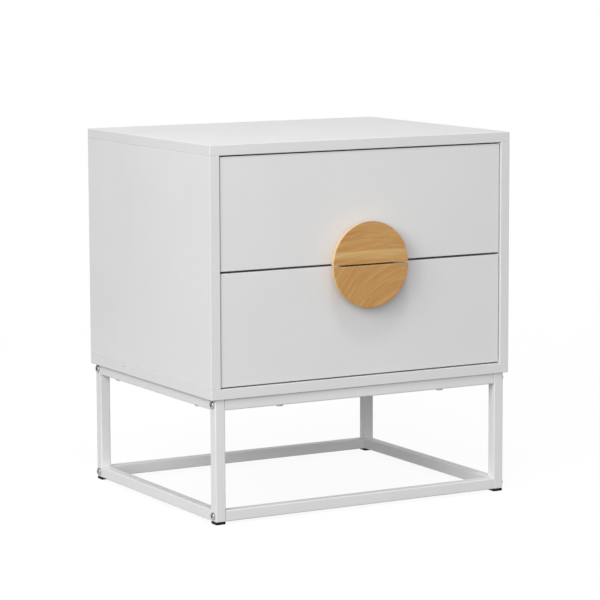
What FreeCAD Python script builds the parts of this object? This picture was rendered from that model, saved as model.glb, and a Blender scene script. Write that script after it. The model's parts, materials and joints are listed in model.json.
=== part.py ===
"""Two-drawer nightstand: a white melamine cabinet on a white square-tube steel base.

Frame: millimetres, +Z up, +X to the right of somebody facing the drawers, drawers open towards -Y.
The origin is on the floor, under the middle of the bounding box, which takes in the handles.
"""
import FreeCAD, Part
import math
import os

V = FreeCAD.Vector
SIDES = {"left": -1, "right": 1}

# ---- driving dimensions --------------------------------------------------------------------------
WIDTH = 500.0            # cabinet, outside
DEPTH = 400.0            # cabinet, outside, without the handles
HEIGHT = 540.0           # floor to top face
LEG_HEIGHT = 180.0       # floor to underside of the cabinet
BOARD = 15.0             # melamine board
HANDLE_PROUD = 18.5      # handle face in front of the cabinet's front plane

# cabinet planes; the cabinet's middle sits behind the origin by half the handle's stand-off
MID_Y = HANDLE_PROUD / 2
FRONT_Y = MID_Y - DEPTH / 2
REAR_Y = MID_Y + DEPTH / 2
HALF_W = WIDTH / 2
INNER_X = HALF_W - BOARD
FLOOR_Z = LEG_HEIGHT + BOARD          # top face of the bottom panel
CEILING_Z = HEIGHT - BOARD            # underside of the top panel

# back panel in its groove
BACK_T = 3.0
BACK_INSET = 10.0        # rear edge of the cabinet to the back panel
GROOVE_DEEP = 6.0
GROOVE_PLAY = 0.1        # on each face of a board in its groove

# drawer fronts
FRONT_RECESS = 2.0       # fronts sit this far inside the cabinet's front plane
FRONT_GAP = 2.0          # at the sides, above and below
SPLIT_GAP = 3.0          # between the two fronts
FRONT_FACE_Y = FRONT_Y + FRONT_RECESS
FRONT_BACK_Y = FRONT_FACE_Y + BOARD
SPLIT_Z = (FLOOR_Z + CEILING_Z) / 2
FRONT_HALF_W = INNER_X - FRONT_GAP

# drawer boxes
BOX_T = 12.0
BOX_H = 120.0
BOX_DEEP = 350.0
BOX_LIFT = 12.5          # lower edge of a front to the lower edge of its box
SIDE_CLEAR = 12.5        # beside each box, where the runners sit
BOX_HALF_W = INNER_X - SIDE_CLEAR
BOX_INNER_X = BOX_HALF_W - BOX_T
BOX_REAR_Y = FRONT_BACK_Y + BOX_DEEP
BOTTOM_T = 3.0
BOTTOM_LIFT = 10.0       # lower edge of the box to its bottom groove
DRAWER_CAM_R = 6.0
DRAWER_CAM_DEEP = 10.0
DRAWER_FIX_LIFTS = (30.0, 90.0)  # cams at the front, screws at the back

# half-round handles
HANDLE_R = 62.5
HANDLE_RIM = 6.5         # thickness of the rim that stands free
NECK_R = 46.0            # the part behind the rim, screwed to the front
HANDLE_SCREW_X = 20.0
HANDLE_SCREW_UP = 33.0   # from the handle's flat edge
HANDLE_SCREW_BITE = 12.0
HANDLE_SCREW_HEAD_R = 4.0
HANDLE_SCREW_HEAD_H = 2.4

# base frame
TUBE = 16.0
TUBE_WALL = 1.2
TUBE_ROUND = 1.5
FOOT_H = 4.0
FOOT_PLUG = 4.0
FRAME_SIDE_INSET = 7.0
FRAME_END_INSET = 3.0
FRAME_X = HALF_W - FRAME_SIDE_INSET            # outer faces of the side frames
FRAME_FRONT_Y = FRONT_Y + FRAME_END_INSET
FRAME_REAR_Y = REAR_Y - FRAME_END_INSET
RAIL_Z = {"lower": FOOT_H + TUBE / 2, "upper": LEG_HEIGHT - TUBE / 2}
RAIL_Y = {"front": FRAME_FRONT_Y + TUBE / 2, "rear": FRAME_REAR_Y - TUBE / 2}
END_PLATE = 3.0

# fasteners
PLAY = 0.05              # radial clearance of a shank in its hole
BOLT_R = 3.0
BOLT_HEAD_R = 5.6
BOLT_HEAD_H = 3.0
SCREW_R = 2.0
MOUNT_SCREW_HEAD_R = 5.6
MOUNT_SCREW_HEAD_H = 2.6
MOUNT_SCREW_SIDE_Y = 130.0       # from the cabinet's middle, in the side rails
MOUNT_SCREW_RAIL_X = 135.0       # from the middle, in the front and rear rails
SCREW_BITE = 8.0                 # into the bottom panel, short of the back panel's groove
CAM_R = 7.5
CAM_DEEP = 12.5
CAM_BACK = 24.0                  # board end to cam centre
CARCASS_Y = 150.0                # cams and long screws, from the cabinet's middle
DOWEL_Y = 110.0
DOWEL_R = 4.0
DOWEL_LONG = 20.0                # in the board's end
DOWEL_SHORT = 10.0               # in the face of the other board
CARCASS_SCREW_R = 2.5
CARCASS_SCREW_L = 50.0
SUNK = 0.3                       # countersunk heads below the board's face
EDGE_HOLE_R = 2.0                # blind hole in each end of the bottom panel
EDGE_HOLE_DEEP = 10.0
EDGE_HOLE_Y = MID_Y + 83.0
EDGE_HOLE_Z = LEG_HEIGHT + 10.0

# roller runners, measured inward from the side panel and upward from the drawer box's lower edge
STEEL = 1.0
RUN_START_Y = FRONT_BACK_Y + 1.5
RUN_LONG = 350.0
CHANNEL_REACH = 10.2             # flanges of the cabinet member
CHANNEL_LIP = 2.5
ROLLER_R = 9.5
ROLLER_AXIS = 9.0
ROLLER_NEAR = 2.8                # roller faces, from the side panel
ROLLER_FAR = 8.6
ROLLER_END = 12.0                # roller axis to the member's end
ROLL_GAP = 0.3                   # roller to its track
FLANGE_NEAR = 2.2                # outer edge of the drawer member's running flange
TRACK_Z = ROLLER_AXIS - ROLLER_R - ROLL_GAP
FLANGE_Z = ROLLER_AXIS + ROLLER_R + ROLL_GAP
CHANNEL_TOP = FLANGE_Z + STEEL + 1.5
AXLE_R = 2.5
AXLE_HEAD_R = 4.0
AXLE_HEAD_H = 1.0
COUNTERBORE_R = 4.5
COUNTERBORE_DEEP = 1.3
END_PLAY = 0.2
TRAVEL = 250.0
STOP_H = 3.0
STOP_T = 1.5
FRONT_ROLLER_Y = RUN_START_Y + ROLLER_END
REAR_ROLLER_Y = BOX_REAR_Y - 1.0 - ROLLER_END
RUNNER_SCREW_Y = [RUN_START_Y + 55.0, RUN_START_Y + 180.0, RUN_START_Y + 305.0]
RUNNER_SCREW_HEAD_R = 3.6
RUNNER_SCREW_HEAD_H = 1.4
RUNNER_SCREW_L = 10.0
BOX_SCREW_R = 1.5                # up through the drawer member into the box side
BOX_SCREW_HEAD_R = 3.2
BOX_SCREW_HEAD_H = 1.5
BOX_SCREW_L = 8.0

DRAWERS = {
    "upper": {"low": SPLIT_Z + SPLIT_GAP / 2, "high": CEILING_Z - FRONT_GAP, "up": 1},
    "lower": {"low": FLOOR_Z + FRONT_GAP, "high": SPLIT_Z - SPLIT_GAP / 2, "up": -1},
}


# ---- helpers -------------------------------------------------------------------------------------
def block(x, y, z):
    """Block filling three (from, to) ranges; each range may be given either way round."""
    low = [min(span) for span in (x, y, z)]
    size = [abs(span[1] - span[0]) for span in (x, y, z)]
    return Part.makeBox(*size, V(*low))


def rod(radius, start, end):
    """Cylinder between two points."""
    start, end = V(*start), V(*end)
    return Part.makeCylinder(radius, (end - start).Length, start, end - start)


def cone(radius_start, radius_end, start, end):
    """Cone frustum between two points."""
    start, end = V(*start), V(*end)
    return Part.makeCone(radius_start, radius_end, (end - start).Length, start, end - start)


def hexagon(across, start, end):
    """Hexagonal prism between two points, for a socket."""
    start, end = V(*start), V(*end)
    axis = end - start
    side = axis.cross(V(0.3, 0.5, 0.8)).normalize()
    corner = side * (across / math.sqrt(3))
    turn = FreeCAD.Rotation(axis, 60)
    points = [start + corner]
    for _ in range(6):
        corner = turn.multVec(corner)
        points.append(start + corner)
    return Part.Face(Part.makePolygon(points)).extrude(axis)


def join(shapes):
    """One solid from pieces that touch or overlap."""
    return shapes[0].multiFuse(shapes[1:]).removeSplitter()


def round_long(shape, radius, axis):
    """Rounds the four straight edges of a block that run along one axis."""
    direction = {"x": V(1, 0, 0), "y": V(0, 1, 0), "z": V(0, 0, 1)}[axis]
    edges = [e for e in shape.Edges if abs(e.tangentAt(e.FirstParameter).dot(direction)) > 0.999]
    return shape.makeFillet(radius, edges)


def save(name, shape):
    """Writes one node: a solid, or a list of like solids kept separate."""
    solids = Part.makeCompound(shape) if isinstance(shape, list) else shape
    for solid in solids.Solids:
        assert solid.isValid() and solid.isClosed(), name
    solids.exportStep(f"parts/{name}.step")


def box_low(drawer):
    """Lower edge of a drawer's box."""
    return drawer["low"] + BOX_LIFT


# ---- cabinet -------------------------------------------------------------------------------------
def cabinet_joints():
    """The (side, y) places where a side panel is fastened, front and rear."""
    for side in SIDES.values():
        for step in (-1, 1):
            yield side, MID_Y + step * CARCASS_Y, MID_Y + step * DOWEL_Y


def back_groove():
    """Ring of space that the back panel's edges sit in, with the panel's own play."""
    y = (REAR_Y - BACK_INSET - BACK_T - GROOVE_PLAY, REAR_Y - BACK_INSET + GROOVE_PLAY)
    reach = INNER_X + GROOVE_DEEP
    return block((-reach, reach), y, (FLOOR_Z - GROOVE_DEEP, CEILING_Z + GROOVE_DEEP))


def back_panel():
    y = (REAR_Y - BACK_INSET - BACK_T, REAR_Y - BACK_INSET)
    reach = INNER_X + GROOVE_DEEP - 0.2
    return block((-reach, reach), y, (FLOOR_Z - GROOVE_DEEP + 0.2, CEILING_Z + GROOVE_DEEP - 0.2))


def top_panel():
    shape = block((-HALF_W, HALF_W), (FRONT_Y, REAR_Y), (CEILING_Z, HEIGHT))
    cuts = [back_groove()]
    for side, cam_y, dowel_y in cabinet_joints():
        x = side * (HALF_W - BOARD / 2)
        cuts.append(rod(BOLT_R + PLAY, (x, cam_y, CEILING_Z), (x, cam_y, CEILING_Z + DOWEL_SHORT)))
        cuts.append(rod(DOWEL_R + PLAY, (x, dowel_y, CEILING_Z), (x, dowel_y, CEILING_Z + DOWEL_SHORT)))
    return shape.cut(cuts)


def mount_screw_places():
    """(x, y) of the eight screws that hold the cabinet on the base frame."""
    side_x = FRAME_X - TUBE / 2
    places = [(sx * side_x, MID_Y + sy * MOUNT_SCREW_SIDE_Y) for sx in (-1, 1) for sy in (-1, 1)]
    return places + [(sx * MOUNT_SCREW_RAIL_X, y) for sx in (-1, 1) for y in RAIL_Y.values()]


def bottom_panel():
    shape = block((-HALF_W, HALF_W), (FRONT_Y, REAR_Y), (LEG_HEIGHT, FLOOR_Z))
    cuts = [back_groove()]
    for side, screw_y, dowel_y in cabinet_joints():
        x = side * (HALF_W - BOARD / 2)
        cuts.append(carcass_screw(x, screw_y, PLAY))
        cuts.append(rod(DOWEL_R + PLAY, (x, dowel_y, FLOOR_Z - DOWEL_SHORT), (x, dowel_y, FLOOR_Z)))
    for x, y in mount_screw_places():
        cuts.append(rod(SCREW_R + PLAY, (x, y, LEG_HEIGHT), (x, y, LEG_HEIGHT + SCREW_BITE + 0.5)))
    for side in SIDES.values():
        mouth = (side * HALF_W, EDGE_HOLE_Y, EDGE_HOLE_Z)
        cuts.append(rod(EDGE_HOLE_R, mouth, (side * (HALF_W - EDGE_HOLE_DEEP), EDGE_HOLE_Y, EDGE_HOLE_Z)))
    return shape.cut(cuts)


def side_panel(side):
    """Stands between the top and bottom panels; takes cams above and long screws below."""
    shape = block((side * INNER_X, side * HALF_W), (FRONT_Y, REAR_Y), (FLOOR_Z, CEILING_Z))
    mid = side * (HALF_W - BOARD / 2)
    cam_z = CEILING_Z - CAM_BACK
    cuts = [back_groove()]
    for place, y, dowel_y in cabinet_joints():
        if place != side:
            continue
        cuts.append(rod(CAM_R, (side * INNER_X, y, cam_z), (side * (INNER_X + CAM_DEEP), y, cam_z)))
        cuts.append(rod(BOLT_R + 0.5, (mid, y, cam_z), (mid, y, CEILING_Z)))
        cuts.append(carcass_screw(mid, y, PLAY))
        cuts.append(rod(DOWEL_R + PLAY, (mid, dowel_y, CEILING_Z - DOWEL_LONG), (mid, dowel_y, CEILING_Z)))
        cuts.append(rod(DOWEL_R + PLAY, (mid, dowel_y, FLOOR_Z), (mid, dowel_y, FLOOR_Z + DOWEL_LONG)))
    for drawer in DRAWERS.values():
        z = box_low(drawer) + ROLLER_AXIS
        for y in RUNNER_SCREW_Y:
            end = side * (INNER_X + RUNNER_SCREW_L + 0.5)
            cuts.append(rod(SCREW_R + PLAY, (side * INNER_X, y, z), (end, y, z)))
    return shape.cut(cuts)


def sunk_screw(mouth, way, head_r, shank_r, length, grow=0.0):
    """Countersunk screw that starts just below a board's face; grow makes the hole it sits in."""
    mouth, way = V(*mouth), V(*way)
    head_top = mouth + way * SUNK
    head_low = head_top + way * (head_r - shank_r)
    tip = mouth + way * (length + grow)
    pieces = [
        cone(head_r + grow, shank_r + grow, tuple(head_top), tuple(head_low)),
        rod(shank_r + grow, tuple(head_top), tuple(tip)),
    ]
    if grow:
        pieces.append(rod(head_r + grow, tuple(mouth), tuple(head_top)))
    return join(pieces)


def carcass_screw(x, y, grow=0.0):
    """Long screw up through the bottom panel into a side panel."""
    return sunk_screw((x, y, LEG_HEIGHT), (0, 0, 1), 4.5, CARCASS_SCREW_R, CARCASS_SCREW_L, grow)


def cam_bolt(foot, way, thread, shank):
    """Bolt with a threaded foot in one board and a collared head held by the cam in the other."""
    foot, way = V(*foot), V(*way)
    start = foot - way * thread
    neck = foot + way * (shank - 4.0)
    tip = foot + way * (shank - 0.5)
    return join([
        rod(BOLT_R, tuple(start + way * 0.3), tuple(foot)),
        rod(1.8, tuple(foot - way * 1.0), tuple(tip)),
        rod(2.8, tuple(neck), tuple(tip)),
    ])


def cam_lock(centre, way, radius, deep, bolt_deep, entry):
    """Round cam, flush with the board: room for the bolt's head and a crossed driver recess."""
    centre, way, entry = V(*centre), V(*way), V(*entry)
    inner = centre + way * (deep - 0.2)
    body = rod(radius - 0.1, tuple(centre), tuple(inner))
    middle = centre + way * bolt_deep
    head_room = rod(3.1, tuple(middle), tuple(middle + entry * (radius + 1)))
    arm = way.cross(entry).normalize()
    recess = []
    for line in (arm, entry):
        other = entry if line is arm else arm
        corner = centre - line * 3.5 - other * 0.6
        points = [corner, corner + line * 7, corner + line * 7 + other * 1.2, corner + other * 1.2, corner]
        recess.append(Part.Face(Part.makePolygon(points)).extrude(way * 2.0))
    return body.cut([head_room] + recess)


def cabinet_fasteners():
    """Cam bolts, cams, dowels and long screws of the carcass, each kind as a list of solids."""
    bolts, cams, dowels, screws = [], [], [], []
    cam_z = CEILING_Z - CAM_BACK
    for side, y, dowel_y in cabinet_joints():
        mid = side * (HALF_W - BOARD / 2)
        bolts.append(cam_bolt((mid, y, CEILING_Z), (0, 0, -1), DOWEL_SHORT, CAM_BACK))
        face = (side * INNER_X, y, cam_z)
        cams.append(cam_lock(face, (side, 0, 0), CAM_R, CAM_DEEP, BOARD / 2, (0, 0, 1)))
        upper = (CEILING_Z - DOWEL_LONG + 0.5, CEILING_Z + DOWEL_SHORT - 0.5)
        lower = (FLOOR_Z - DOWEL_SHORT + 0.5, FLOOR_Z + DOWEL_LONG - 0.5)
        for low, high in (upper, lower):
            dowels.append(rod(DOWEL_R, (mid, dowel_y, low), (mid, dowel_y, high)))
        screws.append(carcass_screw(mid, y))
    return {
        "cabinet_cam_bolts": bolts, "cabinet_cam_locks": cams,
        "cabinet_dowels": dowels, "carcass_screws": screws,
    }


# ---- base frame ----------------------------------------------------------------------------------
def side_frame(side):
    """Welded frame of two legs and two side rails, ground flush, hollow, open under each leg."""
    outer_x = side * FRAME_X
    inner_x = side * (FRAME_X - TUBE)
    low, high = FOOT_H, LEG_HEIGHT

    def ring(inset, x):
        """Picture-frame shape whose tube faces are moved in by the inset."""
        whole = block(x, (FRAME_FRONT_Y + inset, FRAME_REAR_Y - inset), (low + inset, high - inset))
        reach = TUBE - inset
        window = block(x, (FRAME_FRONT_Y + reach, FRAME_REAR_Y - reach), (low + reach, high - reach))
        return whole.cut(window)

    solid = ring(0.0, (outer_x, inner_x))
    rims = [
        edge for edge in solid.Edges
        if abs(edge.tangentAt(edge.FirstParameter).x) < 0.001
    ]
    solid = solid.makeFillet(TUBE_ROUND, rims)
    cuts = [ring(TUBE_WALL, (side * (FRAME_X - TUBE_WALL), side * (FRAME_X - TUBE + TUBE_WALL)))]
    for y in RAIL_Y.values():
        half = TUBE / 2 - TUBE_WALL
        mid_x = side * (FRAME_X - TUBE / 2)
        cuts.append(block((mid_x - half, mid_x + half), (y - half, y + half), (low, low + TUBE_WALL)))
        for z in RAIL_Z.values():
            cuts.append(rod(BOLT_R + 0.3, (outer_x, y, z), (inner_x, y, z)))
    for x, y in mount_screw_places():
        if x == side * (FRAME_X - TUBE / 2):
            cuts.append(rod(SCREW_R + 0.3, (x, y, high - TUBE), (x, y, high)))
    return solid.cut(cuts)


def cross_rail(y, z, drilled):
    """Front or rear tube between the side frames; the upper ones take two mounting screws."""
    reach = FRAME_X - TUBE
    half = TUBE / 2
    core = half - TUBE_WALL
    tube = round_long(block((-reach, reach), (y - half, y + half), (z - half, z + half)), TUBE_ROUND, "x")
    cuts = [block((-reach, reach), (y - core, y + core), (z - core, z + core))]
    if drilled:
        for step in (-1, 1):
            x = step * MOUNT_SCREW_RAIL_X
            cuts.append(rod(SCREW_R + 0.3, (x, y, z - half), (x, y, z + half)))
    return tube.cut(cuts)


def rail_corners():
    """(side, y, z) of the eight bolted ends of the cross rails."""
    for side in SIDES.values():
        for y in RAIL_Y.values():
            for z in RAIL_Z.values():
                yield side, y, z


def rail_end_plates():
    """Threaded plate welded inside each end of each cross rail."""
    plates = []
    core = TUBE / 2 - TUBE_WALL
    for side, y, z in rail_corners():
        face = side * (FRAME_X - TUBE)
        back = side * (FRAME_X - TUBE - END_PLATE)
        plate = block((face, back), (y - core, y + core), (z - core, z + core))
        plates.append(plate.cut(rod(BOLT_R + PLAY, (face, y, z), (back, y, z))))
    return plates


def frame_bolts():
    """Button-head socket bolts through the legs into the cross rails."""
    bolts = []
    for side, y, z in rail_corners():
        seat = side * FRAME_X
        crown = side * (FRAME_X + BOLT_HEAD_H)
        head = rod(BOLT_HEAD_R, (seat, y, z), (crown, y, z))
        rim = [e for e in head.Edges if abs(e.CenterOfMass.x - crown) < 0.01]
        head = head.makeFillet(BOLT_HEAD_H * 0.6, rim)
        shank = rod(BOLT_R, (seat, y, z), (side * (FRAME_X - 24.0), y, z))
        socket = hexagon(4.0, (crown, y, z), (crown - side * 2.0, y, z))
        bolts.append(join([head, shank]).cut(socket))
    return bolts


def frame_mount_screws():
    """Pan-head screws up through the upper rails into the bottom panel."""
    screws = []
    seat = LEG_HEIGHT - TUBE
    for x, y in mount_screw_places():
        head = rod(MOUNT_SCREW_HEAD_R, (x, y, seat - MOUNT_SCREW_HEAD_H), (x, y, seat))
        rim = [e for e in head.Edges if abs(e.CenterOfMass.z - (seat - MOUNT_SCREW_HEAD_H)) < 0.01]
        head = head.makeFillet(1.4, rim)
        shank = rod(SCREW_R, (x, y, seat), (x, y, LEG_HEIGHT + SCREW_BITE))
        under = seat - MOUNT_SCREW_HEAD_H
        cross = [
            block((x - 2.6, x + 2.6), (y - 0.6, y + 0.6), (under, under + 1.6)),
            block((x - 0.6, x + 0.6), (y - 2.6, y + 2.6), (under, under + 1.6)),
        ]
        screws.append(join([head, shank]).cut(cross))
    return screws


def feet():
    """Plastic foot under each leg, with a plug that presses into the tube."""
    shapes = []
    half = TUBE / 2
    plug = half - TUBE_WALL - 0.1
    for side in SIDES.values():
        x = side * (FRAME_X - half)
        for y in RAIL_Y.values():
            pad = block((x - half, x + half), (y - half, y + half), (0, FOOT_H))
            pad = round_long(pad, TUBE_ROUND, "z")
            stem = block((x - plug, x + plug), (y - plug, y + plug), (FOOT_H, FOOT_H + FOOT_PLUG))
            shapes.append(join([pad, stem]))
    return shapes


# ---- runners -------------------------------------------------------------------------------------
def inward(side, near, far):
    """X range between two distances measured inward from a side panel."""
    return (side * (INNER_X - near), side * (INNER_X - far))


def cabinet_runner(side, base):
    """Channel on the side panel, with a stop tab at each end of the rear roller's run."""
    y = (RUN_START_Y, RUN_START_Y + RUN_LONG)
    top = base + CHANNEL_TOP + STEEL
    low = base + TRACK_Z - STEEL
    lip = inward(side, CHANNEL_REACH - STEEL, CHANNEL_REACH)
    pieces = [
        block(inward(side, 0, STEEL), y, (low, top)),
        block(inward(side, 0, CHANNEL_REACH), y, (low, low + STEEL)),
        block(inward(side, 0, CHANNEL_REACH), y, (top - STEEL, top)),
        block(lip, y, (low, low + STEEL + CHANNEL_LIP)),
    ]
    drop = ROLLER_AXIS - TRACK_Z - STOP_H
    reach = math.sqrt(ROLLER_R ** 2 - drop ** 2) + 0.4
    front_stop = REAR_ROLLER_Y - TRAVEL - reach
    rear_stop = REAR_ROLLER_Y + reach
    tab_z = (base + TRACK_Z, base + TRACK_Z + STOP_H)
    tab_x = inward(side, ROLLER_NEAR + 0.5, ROLLER_FAR - 0.5)
    pieces.append(block(tab_x, (front_stop - STOP_T, front_stop), tab_z))
    pieces.append(block(tab_x, (rear_stop, rear_stop + STOP_T), tab_z))
    axis_z = base + ROLLER_AXIS
    cuts = [
        rod(SCREW_R + 0.3, (side * INNER_X, y0, axis_z), (side * (INNER_X - STEEL), y0, axis_z))
        for y0 in RUNNER_SCREW_Y
    ]
    web = (side * INNER_X, FRONT_ROLLER_Y, axis_z), (side * (INNER_X - STEEL), FRONT_ROLLER_Y, axis_z)
    cuts.append(rod(AXLE_R + PLAY, *web))
    return join(pieces).cut(cuts)


def drawer_runner(side, base):
    """Z-shaped member: under and beside the box, with a flange that runs over the front roller."""
    y = (FRONT_BACK_Y + 1.0, BOX_REAR_Y - 1.0)
    web = (SIDE_CLEAR - STEEL, SIDE_CLEAR)
    pieces = [
        block(inward(side, *web), y, (base - STEEL, base + FLANGE_Z + STEEL)),
        block(inward(side, FLANGE_NEAR, SIDE_CLEAR), y, (base + FLANGE_Z, base + FLANGE_Z + STEEL)),
        block(inward(side, web[0], SIDE_CLEAR + BOX_T), y, (base - STEEL, base)),
    ]
    axis_z = base + ROLLER_AXIS
    near, far = (side * (INNER_X - u) for u in web)
    cuts = [rod(AXLE_R + PLAY, (near, REAR_ROLLER_Y, axis_z), (far, REAR_ROLLER_Y, axis_z))]
    x = side * (BOX_HALF_W - BOX_T / 2)
    for y0 in RUNNER_SCREW_Y:
        cuts.append(rod(BOX_SCREW_R + 0.3, (x, y0, base - STEEL), (x, y0, base)))
    return join(pieces).cut(cuts)


def roller(side, y, base, recess_far):
    """Nylon wheel with a counterbore for its rivet's head, on the far or the near face."""
    z = base + ROLLER_AXIS
    near, far = (side * (INNER_X - u) for u in (ROLLER_NEAR, ROLLER_FAR))
    wheel = rod(ROLLER_R, (near, y, z), (far, y, z))
    face = ROLLER_FAR if recess_far else ROLLER_NEAR
    floor = face - COUNTERBORE_DEEP if recess_far else face + COUNTERBORE_DEEP
    face_x, floor_x = (side * (INNER_X - u) for u in (face, floor))
    return wheel.cut([
        rod(AXLE_R + PLAY, (near, y, z), (far, y, z)),
        rod(COUNTERBORE_R, (face_x, y, z), (floor_x, y, z)),
    ])


def axle(side, y, base, stations):
    """Shouldered rivet; stations are its plain end, shoulder ends and head, inward from the panel."""
    z = base + ROLLER_AXIS
    end, seat, shoulder, under_head, crown = (side * (INNER_X - u) for u in stations)
    return join([
        rod(AXLE_R, (end, y, z), (crown, y, z)),
        rod(AXLE_HEAD_R, (seat, y, z), (shoulder, y, z)),
        rod(AXLE_HEAD_R, (under_head, y, z), (crown, y, z)),
    ])


def cabinet_axle(side, base):
    """Rivet of the front roller, on the cabinet member."""
    under_head = ROLLER_FAR - COUNTERBORE_DEEP + END_PLAY
    stations = (0.1, STEEL, ROLLER_NEAR - END_PLAY, under_head, under_head + AXLE_HEAD_H)
    return axle(side, FRONT_ROLLER_Y, base, stations)


def drawer_axle(side, base):
    """Rivet of the rear roller, on the drawer member."""
    under_head = ROLLER_NEAR + COUNTERBORE_DEEP - END_PLAY
    web = SIDE_CLEAR - STEEL
    stations = (SIDE_CLEAR - 0.1, web, ROLLER_FAR + END_PLAY, under_head, under_head - AXLE_HEAD_H)
    return axle(side, REAR_ROLLER_Y, base, stations)


def runner_screws():
    """Low pan-head screws that hold the cabinet members on the side panels."""
    screws = []
    for side in SIDES.values():
        for drawer in DRAWERS.values():
            z = box_low(drawer) + ROLLER_AXIS
            for y in RUNNER_SCREW_Y:
                stations = (STEEL, STEEL + RUNNER_SCREW_HEAD_H, -RUNNER_SCREW_L)
                seat, crown, tip = (side * (INNER_X - u) for u in stations)
                head = rod(RUNNER_SCREW_HEAD_R, (seat, y, z), (crown, y, z))
                screws.append(join([head, rod(SCREW_R, (seat, y, z), (tip, y, z))]))
    return screws


# ---- drawers -------------------------------------------------------------------------------------
def bottom_groove(base):
    """Space for the edges of a drawer's bottom in the four boards around it."""
    reach = BOX_INNER_X + GROOVE_DEEP
    y = (FRONT_BACK_Y - GROOVE_DEEP, BOX_REAR_Y - BOX_T + GROOVE_DEEP)
    z = base + BOTTOM_LIFT
    return block((-reach, reach), y, (z, z + BOTTOM_T + 2 * GROOVE_PLAY))


def drawer_bottom(base):
    reach = BOX_INNER_X + GROOVE_DEEP - 0.2
    y = (FRONT_BACK_Y - GROOVE_DEEP + 0.2, BOX_REAR_Y - BOX_T + GROOVE_DEEP - 0.2)
    z = base + BOTTOM_LIFT + GROOVE_PLAY
    return block((-reach, reach), y, (z, z + BOTTOM_T))


def handle_screw_places(drawer):
    """(x, z) of a handle's two screws."""
    flat = drawer["low"] if drawer["up"] > 0 else drawer["high"]
    z = flat + drawer["up"] * HANDLE_SCREW_UP
    return [(-HANDLE_SCREW_X, z), (HANDLE_SCREW_X, z)]


def drawer_front(drawer):
    base = box_low(drawer)
    half = FRONT_HALF_W
    shape = block((-half, half), (FRONT_FACE_Y, FRONT_BACK_Y), (drawer["low"], drawer["high"]))
    cuts = [bottom_groove(base)]
    for side in SIDES.values():
        x = side * (BOX_HALF_W - BOX_T / 2)
        for lift in DRAWER_FIX_LIFTS:
            start, end = (x, FRONT_BACK_Y - 10.0, base + lift), (x, FRONT_BACK_Y, base + lift)
            cuts.append(rod(BOLT_R + PLAY, start, end))
    for x, z in handle_screw_places(drawer):
        cuts.append(rod(SCREW_R + PLAY, (x, FRONT_FACE_Y, z), (x, FRONT_BACK_Y, z)))
    return shape.cut(cuts)


def drawer_side(side, base):
    outer, inner = side * BOX_HALF_W, side * BOX_INNER_X
    mid = (outer + inner) / 2
    shape = block((outer, inner), (FRONT_BACK_Y, BOX_REAR_Y), (base, base + BOX_H))
    cam_y = FRONT_BACK_Y + CAM_BACK
    back_y = BOX_REAR_Y - BOX_T / 2
    cuts = [bottom_groove(base)]
    for lift in DRAWER_FIX_LIFTS:
        z = base + lift
        cuts.append(rod(DRAWER_CAM_R, (inner, cam_y, z), (inner + side * DRAWER_CAM_DEEP, cam_y, z)))
        cuts.append(rod(BOLT_R + 0.3, (mid, FRONT_BACK_Y, z), (mid, cam_y, z)))
        cuts.append(back_screw(side, back_y, z, PLAY))
    for y in RUNNER_SCREW_Y:
        cuts.append(rod(BOX_SCREW_R + PLAY, (mid, y, base), (mid, y, base + BOX_SCREW_L + 0.5)))
    return shape.cut(cuts)


def back_screw(side, y, z, grow=0.0):
    """Screw through a box side into the end of its back."""
    return sunk_screw((side * BOX_HALF_W, y, z), (-side, 0, 0), 3.8, SCREW_R, 35.0, grow)


def drawer_back(base):
    x = (-BOX_INNER_X, BOX_INNER_X)
    shape = block(x, (BOX_REAR_Y - BOX_T, BOX_REAR_Y), (base, base + BOX_H))
    cuts = [bottom_groove(base)]
    for side in SIDES.values():
        for lift in DRAWER_FIX_LIFTS:
            cuts.append(back_screw(side, BOX_REAR_Y - BOX_T / 2, base + lift, PLAY))
    return shape.cut(cuts)


def handle(drawer):
    """Half-round wooden pull: a thin rim standing free of a smaller neck, so fingers reach behind."""
    up = drawer["up"]
    flat = drawer["low"] if up > 0 else drawer["high"]
    face_y = FRONT_Y - HANDLE_PROUD
    rim_back = face_y + HANDLE_RIM
    rim = rod(HANDLE_R, (0, face_y, SPLIT_Z), (0, rim_back, SPLIT_Z))
    neck = rod(NECK_R, (0, rim_back, SPLIT_Z), (0, FRONT_FACE_Y, SPLIT_Z))
    half_space = block((-80, 80), (face_y - 1, FRONT_FACE_Y + 1), (flat, flat + up * 80))
    shape = join([rim, neck]).common(half_space)
    cuts = []
    for x, z in handle_screw_places(drawer):
        tip = FRONT_FACE_Y - HANDLE_SCREW_BITE - 0.5
        cuts.append(rod(SCREW_R + PLAY, (x, FRONT_FACE_Y, z), (x, tip, z)))
    return shape.cut(cuts)


def handle_screws(drawer):
    """Pan-head screws from inside the drawer into the handle's neck."""
    screws = []
    for x, z in handle_screw_places(drawer):
        crown = FRONT_BACK_Y + HANDLE_SCREW_HEAD_H
        head = rod(HANDLE_SCREW_HEAD_R, (x, FRONT_BACK_Y, z), (x, crown, z))
        rim = [e for e in head.Edges if abs(e.CenterOfMass.y - crown) < 0.01]
        head = head.makeFillet(1.0, rim)
        shank = rod(SCREW_R, (x, FRONT_BACK_Y, z), (x, FRONT_FACE_Y - HANDLE_SCREW_BITE, z))
        screws.append(join([head, shank]))
    return screws


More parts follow.
